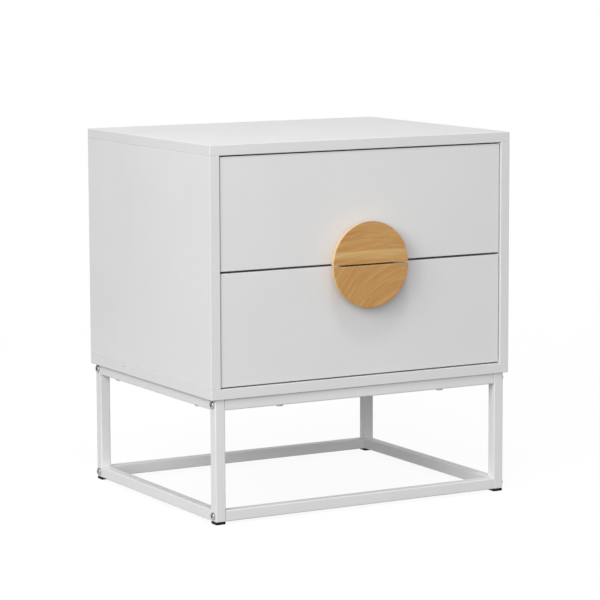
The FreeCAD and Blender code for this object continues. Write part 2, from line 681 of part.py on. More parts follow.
def drawer_fasteners(name, drawer):
    """Cam bolts, cams and screws of one drawer box, each kind as a list of solids."""
    base = box_low(drawer)
    bolts, cams, screws = [], [], []
    for side in SIDES.values():
        x = side * (BOX_HALF_W - BOX_T / 2)
        cam_y = FRONT_BACK_Y + CAM_BACK
        for lift in DRAWER_FIX_LIFTS:
            z = base + lift
            bolts.append(cam_bolt((x, FRONT_BACK_Y, z), (0, 1, 0), 10.0, CAM_BACK))
            face = (side * BOX_INNER_X, cam_y, z)
            entry = (0, -1, 0)
            cams.append(cam_lock(face, (side, 0, 0), DRAWER_CAM_R, DRAWER_CAM_DEEP, BOX_T / 2, entry))
            screws.append(back_screw(side, BOX_REAR_Y - BOX_T / 2, z))
        for y in RUNNER_SCREW_Y:
            low = base - STEEL
            head = rod(BOX_SCREW_HEAD_R, (x, y, low - BOX_SCREW_HEAD_H), (x, y, low))
            screws.append(join([head, rod(BOX_SCREW_R, (x, y, low), (x, y, base + BOX_SCREW_L))]))
    return {
        f"{name}_drawer_cam_bolts": bolts, f"{name}_drawer_cam_locks": cams,
        f"{name}_drawer_screws": screws,
    }


# ---- the whole nightstand ------------------------------------------------------------------------
def build_cabinet():
    save("top_panel", top_panel())
    save("bottom_panel", bottom_panel())
    save("back_panel", back_panel())
    for name, side in SIDES.items():
        save(f"{name}_side_panel", side_panel(side))
    for name, solids in cabinet_fasteners().items():
        save(name, solids)


def build_base():
    for name, side in SIDES.items():
        save(f"{name}_side_frame", side_frame(side))
    for place, y in RAIL_Y.items():
        for level, z in RAIL_Z.items():
            save(f"{place}_{level}_rail", cross_rail(y, z, level == "upper"))
    save("rail_end_plates", rail_end_plates())
    save("frame_bolts", frame_bolts())
    save("frame_mount_screws", frame_mount_screws())
    save("feet", feet())


def build_runners():
    axles = []
    for level, drawer in DRAWERS.items():
        base = box_low(drawer)
        for name, side in SIDES.items():
            save(f"{level}_{name}_cabinet_runner", cabinet_runner(side, base))
            save(f"{level}_{name}_front_roller", roller(side, FRONT_ROLLER_Y, base, True))
            save(f"{level}_{name}_drawer_runner", drawer_runner(side, base))
            save(f"{level}_{name}_rear_roller", roller(side, REAR_ROLLER_Y, base, False))
            axles.append(cabinet_axle(side, base))
        save(f"{level}_drawer_roller_axles", [drawer_axle(side, base) for side in SIDES.values()])
    save("cabinet_roller_axles", axles)
    save("cabinet_runner_screws", runner_screws())


def build_drawers():
    for level, drawer in DRAWERS.items():
        base = box_low(drawer)
        save(f"{level}_drawer_front", drawer_front(drawer))
        for name, side in SIDES.items():
            save(f"{level}_drawer_{name}_side", drawer_side(side, base))
        save(f"{level}_drawer_back", drawer_back(base))
        save(f"{level}_drawer_bottom", drawer_bottom(base))
        save(f"{level}_handle", handle(drawer))
        save(f"{level}_handle_screws", handle_screws(drawer))
        for name, solids in drawer_fasteners(level, drawer).items():
            save(name, solids)


os.makedirs("parts", exist_ok=True)
build_cabinet()
build_base()
build_runners()
build_drawers()
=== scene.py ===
# %% [markdown]
# # A two-drawer nightstand
# A white melamine cabinet stands on a bolted frame of square steel tube. Its two drawer fronts are inset,
# and two half-round wooden pulls meet in the middle as one disc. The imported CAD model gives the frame: every
# size and place below is read from its parts, so each new piece sits exactly where the plain one is.

# %% Load the frame
import json
import math
from functools import partial

import bpy
import numpy as np
from mathutils import Matrix, Vector


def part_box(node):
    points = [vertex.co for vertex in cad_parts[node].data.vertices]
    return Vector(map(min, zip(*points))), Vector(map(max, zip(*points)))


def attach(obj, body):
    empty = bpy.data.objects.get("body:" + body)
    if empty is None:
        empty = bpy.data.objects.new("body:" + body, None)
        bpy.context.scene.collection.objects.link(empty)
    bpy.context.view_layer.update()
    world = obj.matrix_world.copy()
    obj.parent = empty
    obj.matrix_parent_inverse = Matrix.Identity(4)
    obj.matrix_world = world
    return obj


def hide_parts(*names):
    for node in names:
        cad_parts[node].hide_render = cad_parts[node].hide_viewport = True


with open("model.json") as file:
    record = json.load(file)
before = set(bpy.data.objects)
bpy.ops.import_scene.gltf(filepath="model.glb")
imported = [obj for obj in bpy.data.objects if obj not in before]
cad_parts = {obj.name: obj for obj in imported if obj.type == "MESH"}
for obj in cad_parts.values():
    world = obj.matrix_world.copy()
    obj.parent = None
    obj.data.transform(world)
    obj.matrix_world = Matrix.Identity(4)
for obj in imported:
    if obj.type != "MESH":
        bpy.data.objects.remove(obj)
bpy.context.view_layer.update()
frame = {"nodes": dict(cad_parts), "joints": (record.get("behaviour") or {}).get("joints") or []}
MM = 0.001


# %% [markdown]
# ## Reading places from the frame
# A node's box says where its part is. The helpers return plain arrays of the lowest and highest corner, so
# the shape functions can work on them directly.

# %% Boxes as arrays
def corners(node):
    """Lowest and highest corner of a CAD part, as two arrays in metres."""
    low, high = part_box(node)
    return np.array(low), np.array(high)


def islands(node):
    """Boxes of a node's separate solids: triangles that share corners belong to one solid.

    Labels start as the point numbers and take the lowest label among their triangles until none changes."""
    mesh = frame["nodes"][node].data
    points = np.zeros(len(mesh.vertices) * 3)
    mesh.vertices.foreach_get("co", points)
    corner_ids = np.zeros(len(mesh.loops), int)
    mesh.loops.foreach_get("vertex_index", corner_ids)
    unique, same = np.unique(np.round(points.reshape(-1, 3), 7), axis=0, return_inverse=True)
    triangles = same.reshape(-1)[corner_ids].reshape(-1, 3)
    label = np.arange(len(unique))
    while True:
        lowest = label[triangles].min(axis=1)
        before = label.copy()
        for column in triangles.T:
            np.minimum.at(label, column, lowest)
        label = label[label]
        if (label == before).all():
            break
    boxes = [(unique[label == k].min(axis=0), unique[label == k].max(axis=0)) for k in np.unique(label)]
    return sorted(boxes, key=lambda pair: tuple(np.round(pair[0], 5)))


def side_of(middle):
    """1 right of the middle and -1 left of it."""
    return math.copysign(1.0, middle[0])


LEFT, RIGHT = -1, 1
SIDES = (("left", LEFT), ("right", RIGHT))
cabinet_low = corners("bottom_panel")[0]
cabinet_high = corners("top_panel")[1]
print("cabinet, mm:", np.round((cabinet_high - cabinet_low) / MM, 1))
for group in ("frame_bolts", "frame_mount_screws", "feet"):
    print(group, len(islands(group)))


# %% [markdown]
# ## From arrays to meshes
# Every new shape here is a set of rings: closed loops with the same number of points, one after the other.
# Skinning them gives the walls, and a cap closes each end. A weighted-normal modifier lets the large flat
# faces keep their flat shading while the narrow rounded edges stay smooth.

# %% Mesh helpers
def add_mesh(name, points, faces, materials, face_slots=None, sharp=35.0):
    """One mesh object at the origin, smooth except where faces meet at more than the given angle."""
    mesh = bpy.data.meshes.new(name)
    mesh.from_pydata(np.asarray(points).tolist(), [], [list(map(int, f)) for f in faces])
    mesh.polygons.foreach_set("use_smooth", np.ones(len(mesh.polygons), bool))
    for material in materials:
        mesh.materials.append(material)
    if face_slots is not None:
        mesh.polygons.foreach_set("material_index", np.asarray(face_slots, np.int32))
    mesh.update()
    mesh.set_sharp_from_angle(angle=math.radians(sharp))
    piece = bpy.data.objects.new(name, mesh)
    bpy.context.scene.collection.objects.link(piece)
    return piece


def finish_edges(piece):
    """Weights the normals by face area, so large flat faces shade flat beside narrow rounded edges."""
    weigh = piece.modifiers.new("weighted normals", "WEIGHTED_NORMAL")
    weigh.keep_sharp = True
    return piece


def skin(rings, closed=False, caps=True):
    """Points and faces of a surface through rings, given as an array (rings, points, 3).

    Each ring is joined to the next by quads; a closed row of rings joins the last to the first."""
    rings = np.asarray(rings)
    count, around = rings.shape[:2]
    index = np.arange(count * around).reshape(count, around)
    nxt = np.roll(index, -1, axis=1)
    rows = np.arange(count if closed else count - 1)
    after = (rows + 1) % count
    quads = np.stack([index[rows], nxt[rows], nxt[after], index[after]], axis=-1).reshape(-1, 4).tolist()
    if caps and not closed:
        quads += [index[0][::-1].tolist(), index[-1].tolist()]
    return rings.reshape(-1, 3), quads


def merge(shapes):
    """Joins several (points, faces) shapes into one; their islands stay separate."""
    points, faces, start = [], [], 0
    for p, f in shapes:
        points.append(np.asarray(p))
        faces += [[i + start for i in face] for face in f]
        start += len(p)
    return np.concatenate(points), faces


def outward(shape):
    """Turns a closed shape the right way out: its signed volume must be positive.

    The volume is the sum of the boxes spanned by the origin and each face's fan of triangles."""
    points, faces = shape
    volume = 0.0
    for size in {len(f) for f in faces}:
        loops = points[np.array([f for f in faces if len(f) == size])]
        first, second, third = loops[:, :1], loops[:, 1:-1], loops[:, 2:]
        volume += np.einsum("ijk,ijk->", np.broadcast_to(first, second.shape), np.cross(second, third))
    return (points, faces) if volume > 0 else (points, [f[::-1] for f in faces])


def stand_in(piece, slot, body, *nodes):
    """Gives a piece its body and lets it stand for CAD nodes; slot is not used."""
    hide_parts(*nodes)
    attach(piece, body)
    return piece


def fitted(name, shapes, material, slot, body, nodes, sharp=35.0):
    """One piece from several shapes that stands for the given nodes."""
    points, faces = merge(shapes)
    return stand_in(finish_edges(add_mesh(name, points, faces, [material], sharp=sharp)), slot, body, *nodes)


def from_solids(name, node, body, build, material, slot):
    """One piece for a node of many solids: build makes a shape from each solid's corners and middle."""
    shapes = [build(low, high, (low + high) / 2) for low, high in islands(node)]
    fitted(name, shapes, material, slot, body, [node])
    return len(shapes)


print("mesh helpers ready")


# %% [markdown]
# ## Rounded blocks
# Boards, feet and plates are blocks with eased edges. Instead of bevelling a cube, the surface is worked out:
# each point of the sharp block is pulled back onto a smaller block and pushed out again by the edge radius.
# Flat faces stay flat, edges become quarter cylinders and corners become eighths of a sphere.

# %% Rounded block
def stations(low, high, ease, steps, extra=()):
    """Grid lines from low to high that cut each rounded end into equal angles, with extra lines between."""
    arc = ease * (1 - np.tan(np.linspace(np.pi / 4, 0, steps + 1)))
    between = sorted(x for x in extra if low + ease < x < high - ease)
    return np.concatenate([low + arc, between, (high - arc)[::-1]])


def eased_block(low, high, ease, steps=3, extra=((), (), ())):
    """Block with all edges rounded: point q goes to p + ease (q - p) / |q - p|, p being q held inside
    the block shrunk by the radius."""
    low, high = np.asarray(low, float), np.asarray(high, float)
    lines = [stations(low[a], high[a], ease, steps, extra[a]) for a in range(3)]
    points, quads, start = [], [], 0
    for axis in range(3):
        u, v = (axis + 1) % 3, (axis + 2) % 3
        for end in (0, 1):
            grid = np.zeros((len(lines[u]), len(lines[v]), 3))
            grid[..., u], grid[..., v] = np.meshgrid(lines[u], lines[v], indexing="ij")
            grid[..., axis] = (low, high)[end][axis]
            index = start + np.arange(grid[..., 0].size).reshape(grid.shape[:2])
            quad = np.stack([index[:-1, :-1], index[1:, :-1], index[1:, 1:], index[:-1, 1:]], -1)
            quad = quad.reshape(-1, 4)
            points.append(grid.reshape(-1, 3))
            quads.append(quad if end else quad[:, ::-1])
            start += grid[..., 0].size
    q = np.concatenate(points)
    p = np.clip(q, low + ease, high - ease)
    away = q - p
    q = p + ease * away / np.linalg.norm(away, axis=1, keepdims=True)
    unique, same = np.unique(np.round(q, 8), axis=0, return_inverse=True)
    return unique, same.reshape(-1)[np.concatenate(quads)].tolist()


test_points, test_faces = eased_block((0, 0, 0), (1, 1, 1), 0.1)
print("rounded block:", len(test_points), "points,", len(test_faces), "faces")


# %% [markdown]
# ## Turned parts
# Bolts, screws, cams and rollers are all rings stacked along an axis. A ring need not be a circle: a hexagon
# or a cross is only a radius that changes with the angle, so a driver recess is two more rings of the stack.

# %% Stacks of rings about an axis
SPOKES = 48


def ring_angles(spokes=SPOKES):
    return np.linspace(0, 2 * np.pi, spokes, endpoint=False)


def hex_radius(across):
    """Radius of a hexagon by angle: half its width over the cosine of the angle from the nearest flat."""
    turn = (ring_angles() + np.pi / 6) % (np.pi / 3) - np.pi / 6
    return across / 2 / np.cos(turn)


def cross_radius(arm, half):
    """Radius of a cross by angle, folded into an eighth of a turn: its arm's end or its arm's flank."""
    fold = np.abs((ring_angles() + np.pi / 4) % (np.pi / 2) - np.pi / 4)
    return np.minimum(arm / np.cos(fold), half / np.maximum(np.sin(fold), 1e-6))


def stack(centre, axis, levels, closed=False):
    """Rings about an axis: each level gives a radius, or one radius for each spoke, and a height. The first
    spoke is square to a skewed direction, so recesses are turned a little, as a driver leaves them."""
    axis = np.asarray(axis, float)
    across = np.cross(axis, (0.31, 0.52, 0.79))
    across /= np.linalg.norm(across)
    other = np.cross(axis, across)
    angle = ring_angles()[:, None]
    spoke = np.cos(angle) * across + np.sin(angle) * other
    rings = [
        np.asarray(centre) + axis * height + np.broadcast_to(np.asarray(radius), (SPOKES,))[:, None] * spoke
        for radius, height in levels
    ]
    return outward(skin(rings, closed=closed))


def dome(radius, flat, low, high, steps=6):
    """Levels of a rounded head: a quarter ellipse from the full radius down to a flat crown."""
    turn = np.linspace(0, np.pi / 2, steps)
    return [(flat + (radius - flat) * np.cos(t), low + (high - low) * np.sin(t)) for t in turn]


def recess(arm, heights):
    """Levels of a crossed driver recess that narrows as it goes down: mouth, wall, floor and point."""
    walls = [(1.0, 0.24), (0.9, 0.2), (0.5, 0.16)]
    return list(zip([cross_radius(arm * reach, arm * half) for reach, half in walls] + [arm * 0.1], heights))


def button_head(seat, axis, radius, height, across):
    """Button head with a hexagon socket: rim, dome, flat crown, then down into the socket."""
    levels = [(radius * 0.97, 0.0), (radius, 0.04 * height)]
    levels += dome(radius, across * 0.72, 0.3 * height, height)
    levels += [(hex_radius(across * 1.06), height), (hex_radius(across), height * 0.94)]
    levels += [(hex_radius(across), height * 0.3), (across * 0.25, height * 0.16)]
    return stack(seat, axis, levels)


def pan_head(seat, axis, radius, height, arm):
    """Pan head with a crossed recess."""
    levels = [(radius * 0.98, 0.0), (radius, 0.05 * height)]
    levels += dome(radius, radius * 0.72, 0.35 * height, height)
    levels += recess(arm, (height, height * 0.8, height * 0.35, height * 0.25))
    return stack(seat, axis, levels)


print("socket corner to flat, mm:", np.round(hex_radius(4.0).max() - hex_radius(4.0).min(), 2))


# %% [markdown]
# ## Node materials
# A material is a small graph. These helpers keep each one to a few lines: texture coordinates in metres on
# the object itself, a noise, a range, a colour ramp and a bump. Numbers that are the same all over the
# surface go straight onto the shader's sockets. Most finishes are nearly even, and differ only in which
# noises move their colour, their gloss and their relief, so one function makes them all.

# %% Node helpers
def add_node(tree, kind, inputs=None, **settings):
    """Adds a node; an input given as another node's output is linked, anything else is set as its value."""
    made = tree.nodes.new(kind)
    for key, value in settings.items():
        setattr(made, key, value)
    for socket, value in (inputs or {}).items():
        if isinstance(value, bpy.types.NodeSocket):
            tree.links.new(value, made.inputs[socket])
        else:
            made.inputs[socket].default_value = value
    return made


def place(tree, scale=(1, 1, 1), turn=(0, 0, 0), centre=(0, 0, 0)):
    """Object coordinates about a centre, turned, then scaled."""
    source = add_node(tree, "ShaderNodeTexCoord").outputs["Object"]
    moved = add_node(tree, "ShaderNodeVectorMath", {0: source, 1: centre}, operation="SUBTRACT")
    turned = add_node(tree, "ShaderNodeMapping", {"Vector": moved.outputs[0], "Rotation": turn})
    scaled = add_node(tree, "ShaderNodeVectorMath", {0: turned.outputs[0], 1: scale}, operation="MULTIPLY")
    return scaled.outputs[0]


def noise(tree, vector, scale=1.0, detail=3.0, rough=0.5, distortion=0.0):
    return add_node(tree, "ShaderNodeTexNoise", {
        "Vector": vector, "Scale": scale, "Detail": detail, "Roughness": rough, "Distortion": distortion,
    }).outputs["Fac"]


def spread(tree, value, low, high, to_low, to_high):
    """Moves a value from one range to another, held at its ends."""
    inputs = {"Value": value, "From Min": low, "From Max": high, "To Min": to_low, "To Max": to_high}
    return add_node(tree, "ShaderNodeMapRange", inputs).outputs["Result"]


def ramp(tree, value, stops):
    """Colour ramp from (place, colour) stops."""
    made = add_node(tree, "ShaderNodeValToRGB", {"Fac": value})
    elements = made.color_ramp.elements
    while len(elements) < len(stops):
        elements.new(0.5)
    for element, (where, colour) in zip(elements, stops):
        element.position = where
        element.color = (*colour, 1.0)
    return made.outputs["Color"]


def blend_colours(tree, amount, first, second, how="MIX"):
    inputs = {0: amount, 6: first, 7: second}
    return add_node(tree, "ShaderNodeMix", inputs, data_type="RGBA", blend_type=how).outputs[2]


def maths(tree, how, first, *others):
    """Chain of one operation over two or more values, taken from the left."""
    for other in others:
        first = add_node(tree, "ShaderNodeMath", {0: first, 1: other}, operation=how).outputs[0]
    return first


def bump(tree, height, depth, strength, under=None):
    """Bump of a given depth in metres, on top of another if one is given."""
    inputs = {"Height": height, "Distance": depth, "Strength": strength}
    if under is not None:
        inputs["Normal"] = under
    return add_node(tree, "ShaderNodeBump", inputs).outputs["Normal"]


def new_material(name, **sockets):
    """A principled material; sockets are its own plain values, with _ for a space."""
    material = bpy.data.materials.new(name)
    material.use_nodes = True
    shader = material.node_tree.nodes["Principled BSDF"]
    for socket, value in sockets.items():
        shader.inputs[socket.replace("_", " ")].default_value = value
    return material, material.node_tree, shader


def connect(tree, shader, **outputs):
    for socket, output in outputs.items():
        tree.links.new(output, shader.inputs[socket.replace("_", " ")])


def grey(value):
    return (value, value, value)


def scaled(colour, factor):
    return tuple(min(1.0, part * factor) for part in colour)


def even_finish(name, colour, rough, tone, sheen, reliefs, specks=(), **sockets):
    """Nearly even surface. tone and sheen are a noise and how far it moves the colour and the gloss, each
    relief is a noise with a bump's depth and strength, and specks is a noise of slightly darker grains."""
    material, tree, shader = new_material(name, **sockets)
    metres = place(tree)
    field, dark, light = tone
    stops = [(0.3, scaled(colour, dark)), (0.7, scaled(colour, light))]
    shade = ramp(tree, noise(tree, metres, *field), stops)
    if specks:
        grains = ramp(tree, noise(tree, metres, *specks), [(0.35, grey(0.985)), (0.65, grey(1.0))])
        shade = blend_colours(tree, 1.0, shade, grains, "MULTIPLY")
    field, less, more = sheen
    gloss = spread(tree, noise(tree, metres, *field), 0.3, 0.7, rough - less, rough + more)
    normal = None
    for field, depth, strength in reliefs:
        normal = bump(tree, noise(tree, metres, *field), depth, strength, normal)
    connect(tree, shader, Base_Color=shade, Roughness=gloss, Normal=normal)
    return material


print("node helpers ready")


# %% [markdown]
# ## White melamine
# Melamine board is printed paper soaked in resin and pressed on chipboard by a plate with a fine pearl
# texture. It is nearly even in colour, but a real sheet has faint clouds, a pearl grain under a millimetre
# across, and a slow waviness where the chips show through. The edging strip is a separate plastic tape, a
# little smoother, with a hairline of glue beside it, so the boards take three materials.

# %% Melamine, edging and glue line
WHITE = 0.80


def melamine(name, white, rough, pearl_depth):
    """White laminate: clouds and flecks in the colour, chip waves and pearl grain in the bump."""
    clouds, sheen = ((7.0, 4.0, 0.55), 0.985, 1.012), ((16.0, 5.0, 0.6), 0.04, 0.05)
    waves, pearl = ((85.0, 2.0), 0.00006, 0.5), ((1100.0, 2.0), pearl_depth, 0.6)
    return even_finish(name, grey(white), rough, clouds, sheen, [waves, pearl],
                       specks=(420.0, 2.0, 0.6), Specular_IOR_Level=0.45, IOR=1.5)


melamine_face = melamine("melamine_face", WHITE, 0.42, 0.00003)
melamine_edging = melamine("melamine_edging", WHITE * 0.98, 0.38, 0.000012)
glue_line = melamine("glue_line", WHITE * 0.86, 0.5, 0.00001)
print("melamine materials:", melamine_face.name, melamine_edging.name, glue_line.name)


# %% [markdown]
# ## Powder coat
# The base is sprayed with dry paint that melts into a hard skin. It flows a little as it melts, which leaves
# the low dimples called orange peel, about two millimetres across, and a satin gloss.

# %% Powder coat and runner coating
def powder_coat(name, colour, rough, peel=430.0, depth=0.00005):
    """Sprayed and baked paint: orange peel from two noises, with a slight change of gloss."""
    dimples, grit = ((peel, 1.0, 0.4), depth, 0.5), ((peel * 4, 1.0), depth * 0.25, 0.5)
    return even_finish(name, colour, rough, ((20.0,), 0.98, 1.01), ((60.0,), 0.05, 0.06), [dimples, grit],
                       Specular_IOR_Level=0.5)


frame_paint = powder_coat("frame_paint", grey(0.80), 0.38)
runner_paint = powder_coat("runner_paint", (0.78, 0.77, 0.74), 0.3, peel=700.0, depth=0.00001)
print("paints:", frame_paint.name, runner_paint.name)


# %% [markdown]
# ## Zinc, nylon and black plastic
# The bolts are steel with bright zinc plating: a metal, a little blue, with fine patches of gloss from
# handling. The feet are moulded plastic with a spark-eroded texture, and the rollers are plain nylon,
# slightly waxy.

# %% Metals and plastics
def plated(name, colour, rough, patches):
    """Bare or plated metal: patches in the colour and the gloss, and fine marks."""
    return even_finish(name, colour, rough, ((patches, 4.0, 0.6), 0.82, 1.0), ((patches * 3,), 0.08, 0.1),
                       [((2600.0, 2.0), 0.00001, 0.4)], Metallic=1.0)


def plastic(name, colour, rough, grain, depth, **sockets):
    """Moulded plastic with one grain."""
    return even_finish(name, colour, rough, ((grain * 0.2,), 0.9, 1.08), ((grain * 0.5, 2.0), 0.06, 0.06),
                       [((grain, 2.0), depth, 0.6)], **sockets)


zinc = plated("zinc_plate", (0.42, 0.43, 0.45), 0.30, 300.0)
cast_zinc = plated("cast_zinc", (0.42, 0.43, 0.44), 0.46, 500.0)
black_plastic = plastic("black_plastic", grey(0.006), 0.6, 900.0, 0.00004, Specular_IOR_Level=0.2)
nylon = plastic("natural_nylon", (0.80, 0.79, 0.75), 0.42, 500.0, 0.00001, Subsurface_Weight=0.15)
print("hard parts:", zinc.name, cast_zinc.name, black_plastic.name, nylon.name)


# %% [markdown]
# ## Light hardwood
# Wood is a bundle of fibres, so every noise is stretched along the grain: broad soft streaks, finer ones,
# hair-thin fibres and short dark pores. The growth rings are layers that bend a little, so their line is
# taken from the height above the grain plus a slow wave; a broad bend gives the arches of a flat-sawn face.
# The patterns fill the solid, so the rims show end grain by themselves; the rims are also painted paler than
# the face, a painted highlight where light catches them, so the colour also follows the way the surface faces.
# The pulls are cut from different boards: the upper one is straight-grained with a pale streak, the lower one
# is calmer, leans and shows arches.

# %% Wood
RINGS_PER_METRE = 190.0
WOOD_TONES = [
    (0.36, (0.500, 0.245, 0.078)), (0.46, (0.575, 0.305, 0.104)),
    (0.55, (0.625, 0.352, 0.130)), (0.64, (0.665, 0.396, 0.156)),
]
PALE_STREAK, PAINTED_RIM_HIGHLIGHT = (0.740, 0.505, 0.215, 1.0), (0.715, 0.520, 0.280, 1.0)


def hardwood(name, centre, lean, bend, calm=1.0, darker=0.07, streak=None):
    """Lacquered wood. The grain runs along X, leaning by an angle in the face's plane; bend is how much the
    growth lines arch, calm scales the fibres' contrast, darker is the late wood's depth, and streak is the
    (low, high) height of a pale band from the middle of the disc."""
    material, tree, shader = new_material(name, Coat_Weight=0.12, Coat_Roughness=0.3, Specular_IOR_Level=0.35)
    straight = place(tree, turn=(0.0, lean, 0.0), centre=centre)
    axes = add_node(tree, "ShaderNodeSeparateXYZ", {0: straight}).outputs
    times, plus = partial(maths, tree, "MULTIPLY"), partial(maths, tree, "ADD")
    height = plus(axes["Z"], times(axes["X"], axes["X"], bend))
    grain = add_node(tree, "ShaderNodeCombineXYZ", {0: axes["X"], 1: axes["Y"], 2: height}).outputs[0]

    def along(x, across, detail=3.0, rough=0.5, distortion=0.0):
        """Noise stretched along the bent grain."""
        inputs = {0: grain, 1: (x, across, across)}
        stretched = add_node(tree, "ShaderNodeVectorMath", inputs, operation="MULTIPLY").outputs["Vector"]
        return noise(tree, stretched, 1.0, detail, rough, distortion)

    broad = along(9, 170, 3.0, 0.55, 0.5)
    streaks = along(26, 480, 3.0, 0.6, 0.5)
    fibres = along(60, 1900, 2.0, 0.6)
    pores = along(150, 3000, 1.0)
    drift = spread(tree, along(11, 30), 0.2, 0.8, -0.008, 0.008)
    layer = plus(height, plus(drift, times(axes["Y"], 0.35)))
    late = spread(tree, maths(tree, "FRACT", times(layer, RINGS_PER_METRE), 0.0), 0.55, 1.0, 0.0, 1.0)
    late = times(late, late, spread(tree, broad, 0.35, 0.65, 0.2, 1.0))
    shares = [(broad, 0.46), (streaks, 0.30), (fibres, 0.24)]
    tone = plus(*[times(field, share) for field, share in shares])
    tone = spread(tree, tone, 0.0, 1.0, 0.5 - calm / 2, 0.5 + calm / 2)
    tone = maths(tree, "SUBTRACT", tone, times(late, darker))
    colour = ramp(tree, tone, WOOD_TONES)
    if streak:
        wander = along(14, 30, 2.0)
        height = plus(axes["Z"], spread(tree, wander, 0.3, 0.7, -0.0014, 0.0014))
        low, high = streak
        rise = spread(tree, height, low - 0.0035, low + 0.0025, 0.0, 1.0)
        fall = spread(tree, height, high - 0.001, high + 0.0012, 1.0, 0.0)
        weight = spread(tree, broad, 0.35, 0.65, 0.6, 1.0)
        colour = blend_colours(tree, times(rise, fall, weight), colour, PALE_STREAK)
    facing = add_node(tree, "ShaderNodeTexCoord").outputs["Normal"]
    facing = add_node(tree, "ShaderNodeSeparateXYZ", {0: facing}).outputs["Y"]
    # Painted highlight: faces that look sideways, the rims, are painted paler, as where light catches them.
    rim = spread(tree, maths(tree, "ABSOLUTE", facing, 0.0), 0.45, 0.85, 0.8, 0.0)
    colour = blend_colours(tree, rim, colour, PAINTED_RIM_HIGHLIGHT)
    pore = ramp(tree, pores, [(0.27, grey(0.74)), (0.38, grey(1.0))])
    colour = blend_colours(tree, 0.8, colour, pore, "MULTIPLY")
    gloss = spread(tree, streaks, 0.3, 0.7, 0.36, 0.50)
    relief = bump(tree, fibres, 0.00004, 0.5)
    relief = bump(tree, pores, 0.00003, 0.5, relief)
    connect(tree, shader, Base_Color=colour, Roughness=gloss, Normal=relief)
    return material


disc_centre = tuple((corners("lower_handle")[0] + corners("upper_handle")[1]) / 2)
upper_wood = hardwood("upper_pull_wood", disc_centre, 0.02, 1.2, 1.15, streak=(0.0115, 0.0200))
arch_centre = (disc_centre[0] + 12 * MM, disc_centre[1], disc_centre[2])
lower_wood = hardwood("lower_pull_wood", arch_centre, 0.42, 4.5, 0.9, 0.06)
dowel_wood = hardwood("dowel_wood", (0.0, 0.0, 0.0), math.pi / 2, 0.5)
print("pull centre, mm:", np.round(np.array(disc_centre) / MM, 2))


# %% [markdown]
# ## Thin materials inside the drawers
# The drawer boxes are chipboard wrapped in a thin printed foil, which is a little duller than melamine. The
# back panel and the drawer bottoms are pressed wood fibre with a white print on them, so a felt of short
# fibres shows in the surface.

# %% Drawer foil and fibreboard
drawer_foil = melamine("drawer_foil", WHITE * 0.975, 0.46, 0.00002)


def fibreboard(name, white):
    """White printed fibreboard: short crossed fibres as two noises stretched along X and along Z."""
    material, tree, shader = new_material(name, Specular_IOR_Level=0.4)
    along = noise(tree, place(tree, (180, 900, 1400), (0, 0.5, 0)), 1.0, 3.0, 0.6, 0.6)
    across = noise(tree, place(tree, (1400, 900, 180), (0, 0.2, 0)), 1.0, 3.0, 0.6, 0.6)
    felt = maths(tree, "MAXIMUM", along, across)
    tone = ramp(tree, felt, [(0.35, grey(white * 0.94)), (0.7, grey(white))])
    gloss = spread(tree, felt, 0.3, 0.8, 0.62, 0.48)
    connect(tree, shader, Base_Color=tone, Roughness=gloss, Normal=bump(tree, felt, 0.00008, 0.5))
    return material


white_fibreboard = fibreboard("white_fibreboard", WHITE * 0.96)
print("inner boards:", drawer_foil.name, white_fibreboard.name)


# %% [markdown]
# ## Boards
# Each board is a rounded block with its box read from the frame. The edging tape is a millimetre thick, so
# every face closer than that to an edged end takes the edging, the next tenth of a millimetre is the glue
# line, and the rest is the laminate. Extra grid lines at those two distances make the masks exact.

# %% Edged board
TAPE = 1.0 * MM
GLUE = 0.12 * MM
EASE, SIDE_EASE, BOX_EASE, SHEET_EASE = 0.8 * MM, 0.6 * MM, 0.5 * MM, 0.2 * MM


def board(node, edged, materials, slot, body, ease=EASE):
    """Rounded board in a node's box; edged lists the (axis, end) sides that carry tape."""
    low, high = corners(node)
    extra = [[], [], []]
    for axis, end in edged:
        for depth in (TAPE, TAPE + GLUE):
            extra[axis].append(low[axis] + depth if end == 0 else high[axis] - depth)
    points, faces = eased_block(low, high, ease, 3, extra)
    middle = points[np.array(faces)].mean(axis=1)
    depth = np.full(len(faces), 1.0)
    for axis, end in edged:
        depth = np.minimum(depth, middle[:, axis] - low[axis] if end == 0 else high[axis] - middle[:, axis])
    slots = np.where(depth < TAPE, 1, np.where(depth < TAPE + GLUE, 2, 0))
    return stand_in(add_mesh(node + "_board", points, faces, materials, slots), slot, body, node)


def drill(piece, cutters):
    """Cuts closed shapes out of a piece and keeps the result as its mesh."""
    points, faces = merge(cutters)
    tool = add_mesh("drill_bit", points, faces, [])
    cut = piece.modifiers.new("holes", "BOOLEAN")
    cut.operation = "DIFFERENCE"
    cut.solver = "EXACT"
    cut.object = tool
    done = bpy.data.meshes.new_from_object(piece.evaluated_get(bpy.context.evaluated_depsgraph_get()))
    piece.modifiers.clear()
    old, piece.data = piece.data, done
    bpy.data.meshes.remove(old)
    bpy.data.objects.remove(tool)
    done.name = piece.name
    done.set_sharp_from_angle(angle=math.radians(35.0))


MELAMINE = [melamine_face, melamine_edging, glue_line]
ROUND_X = [(0, 0), (0, 1)]
ROUND_Y = [(1, 0), (1, 1)]
ROUND_Z = [(2, 0), (2, 1)]
top_board = board("top_panel", ROUND_X + ROUND_Y, MELAMINE, "white_melamine", "cabinet")
bottom_board = board("bottom_panel", ROUND_X + ROUND_Y, MELAMINE, "white_melamine", "cabinet")
for side in ("left", "right"):
    finish_edges(board(side + "_side_panel", ROUND_Y, MELAMINE, "white_melamine", "cabinet", SIDE_EASE))
HOLE_BACK, HOLE_UP, HOLE_RADIUS, HOLE_DEEP = 283 * MM, 10 * MM, 2.0 * MM, 10 * MM
OUTSIDE = -2 * MM
hole_y = corners("left_side_panel")[0][1] + HOLE_BACK
hole_z = corners("bottom_panel")[0][2] + HOLE_UP
hole = [(HOLE_RADIUS, OUTSIDE), (HOLE_RADIUS, HOLE_DEEP)]
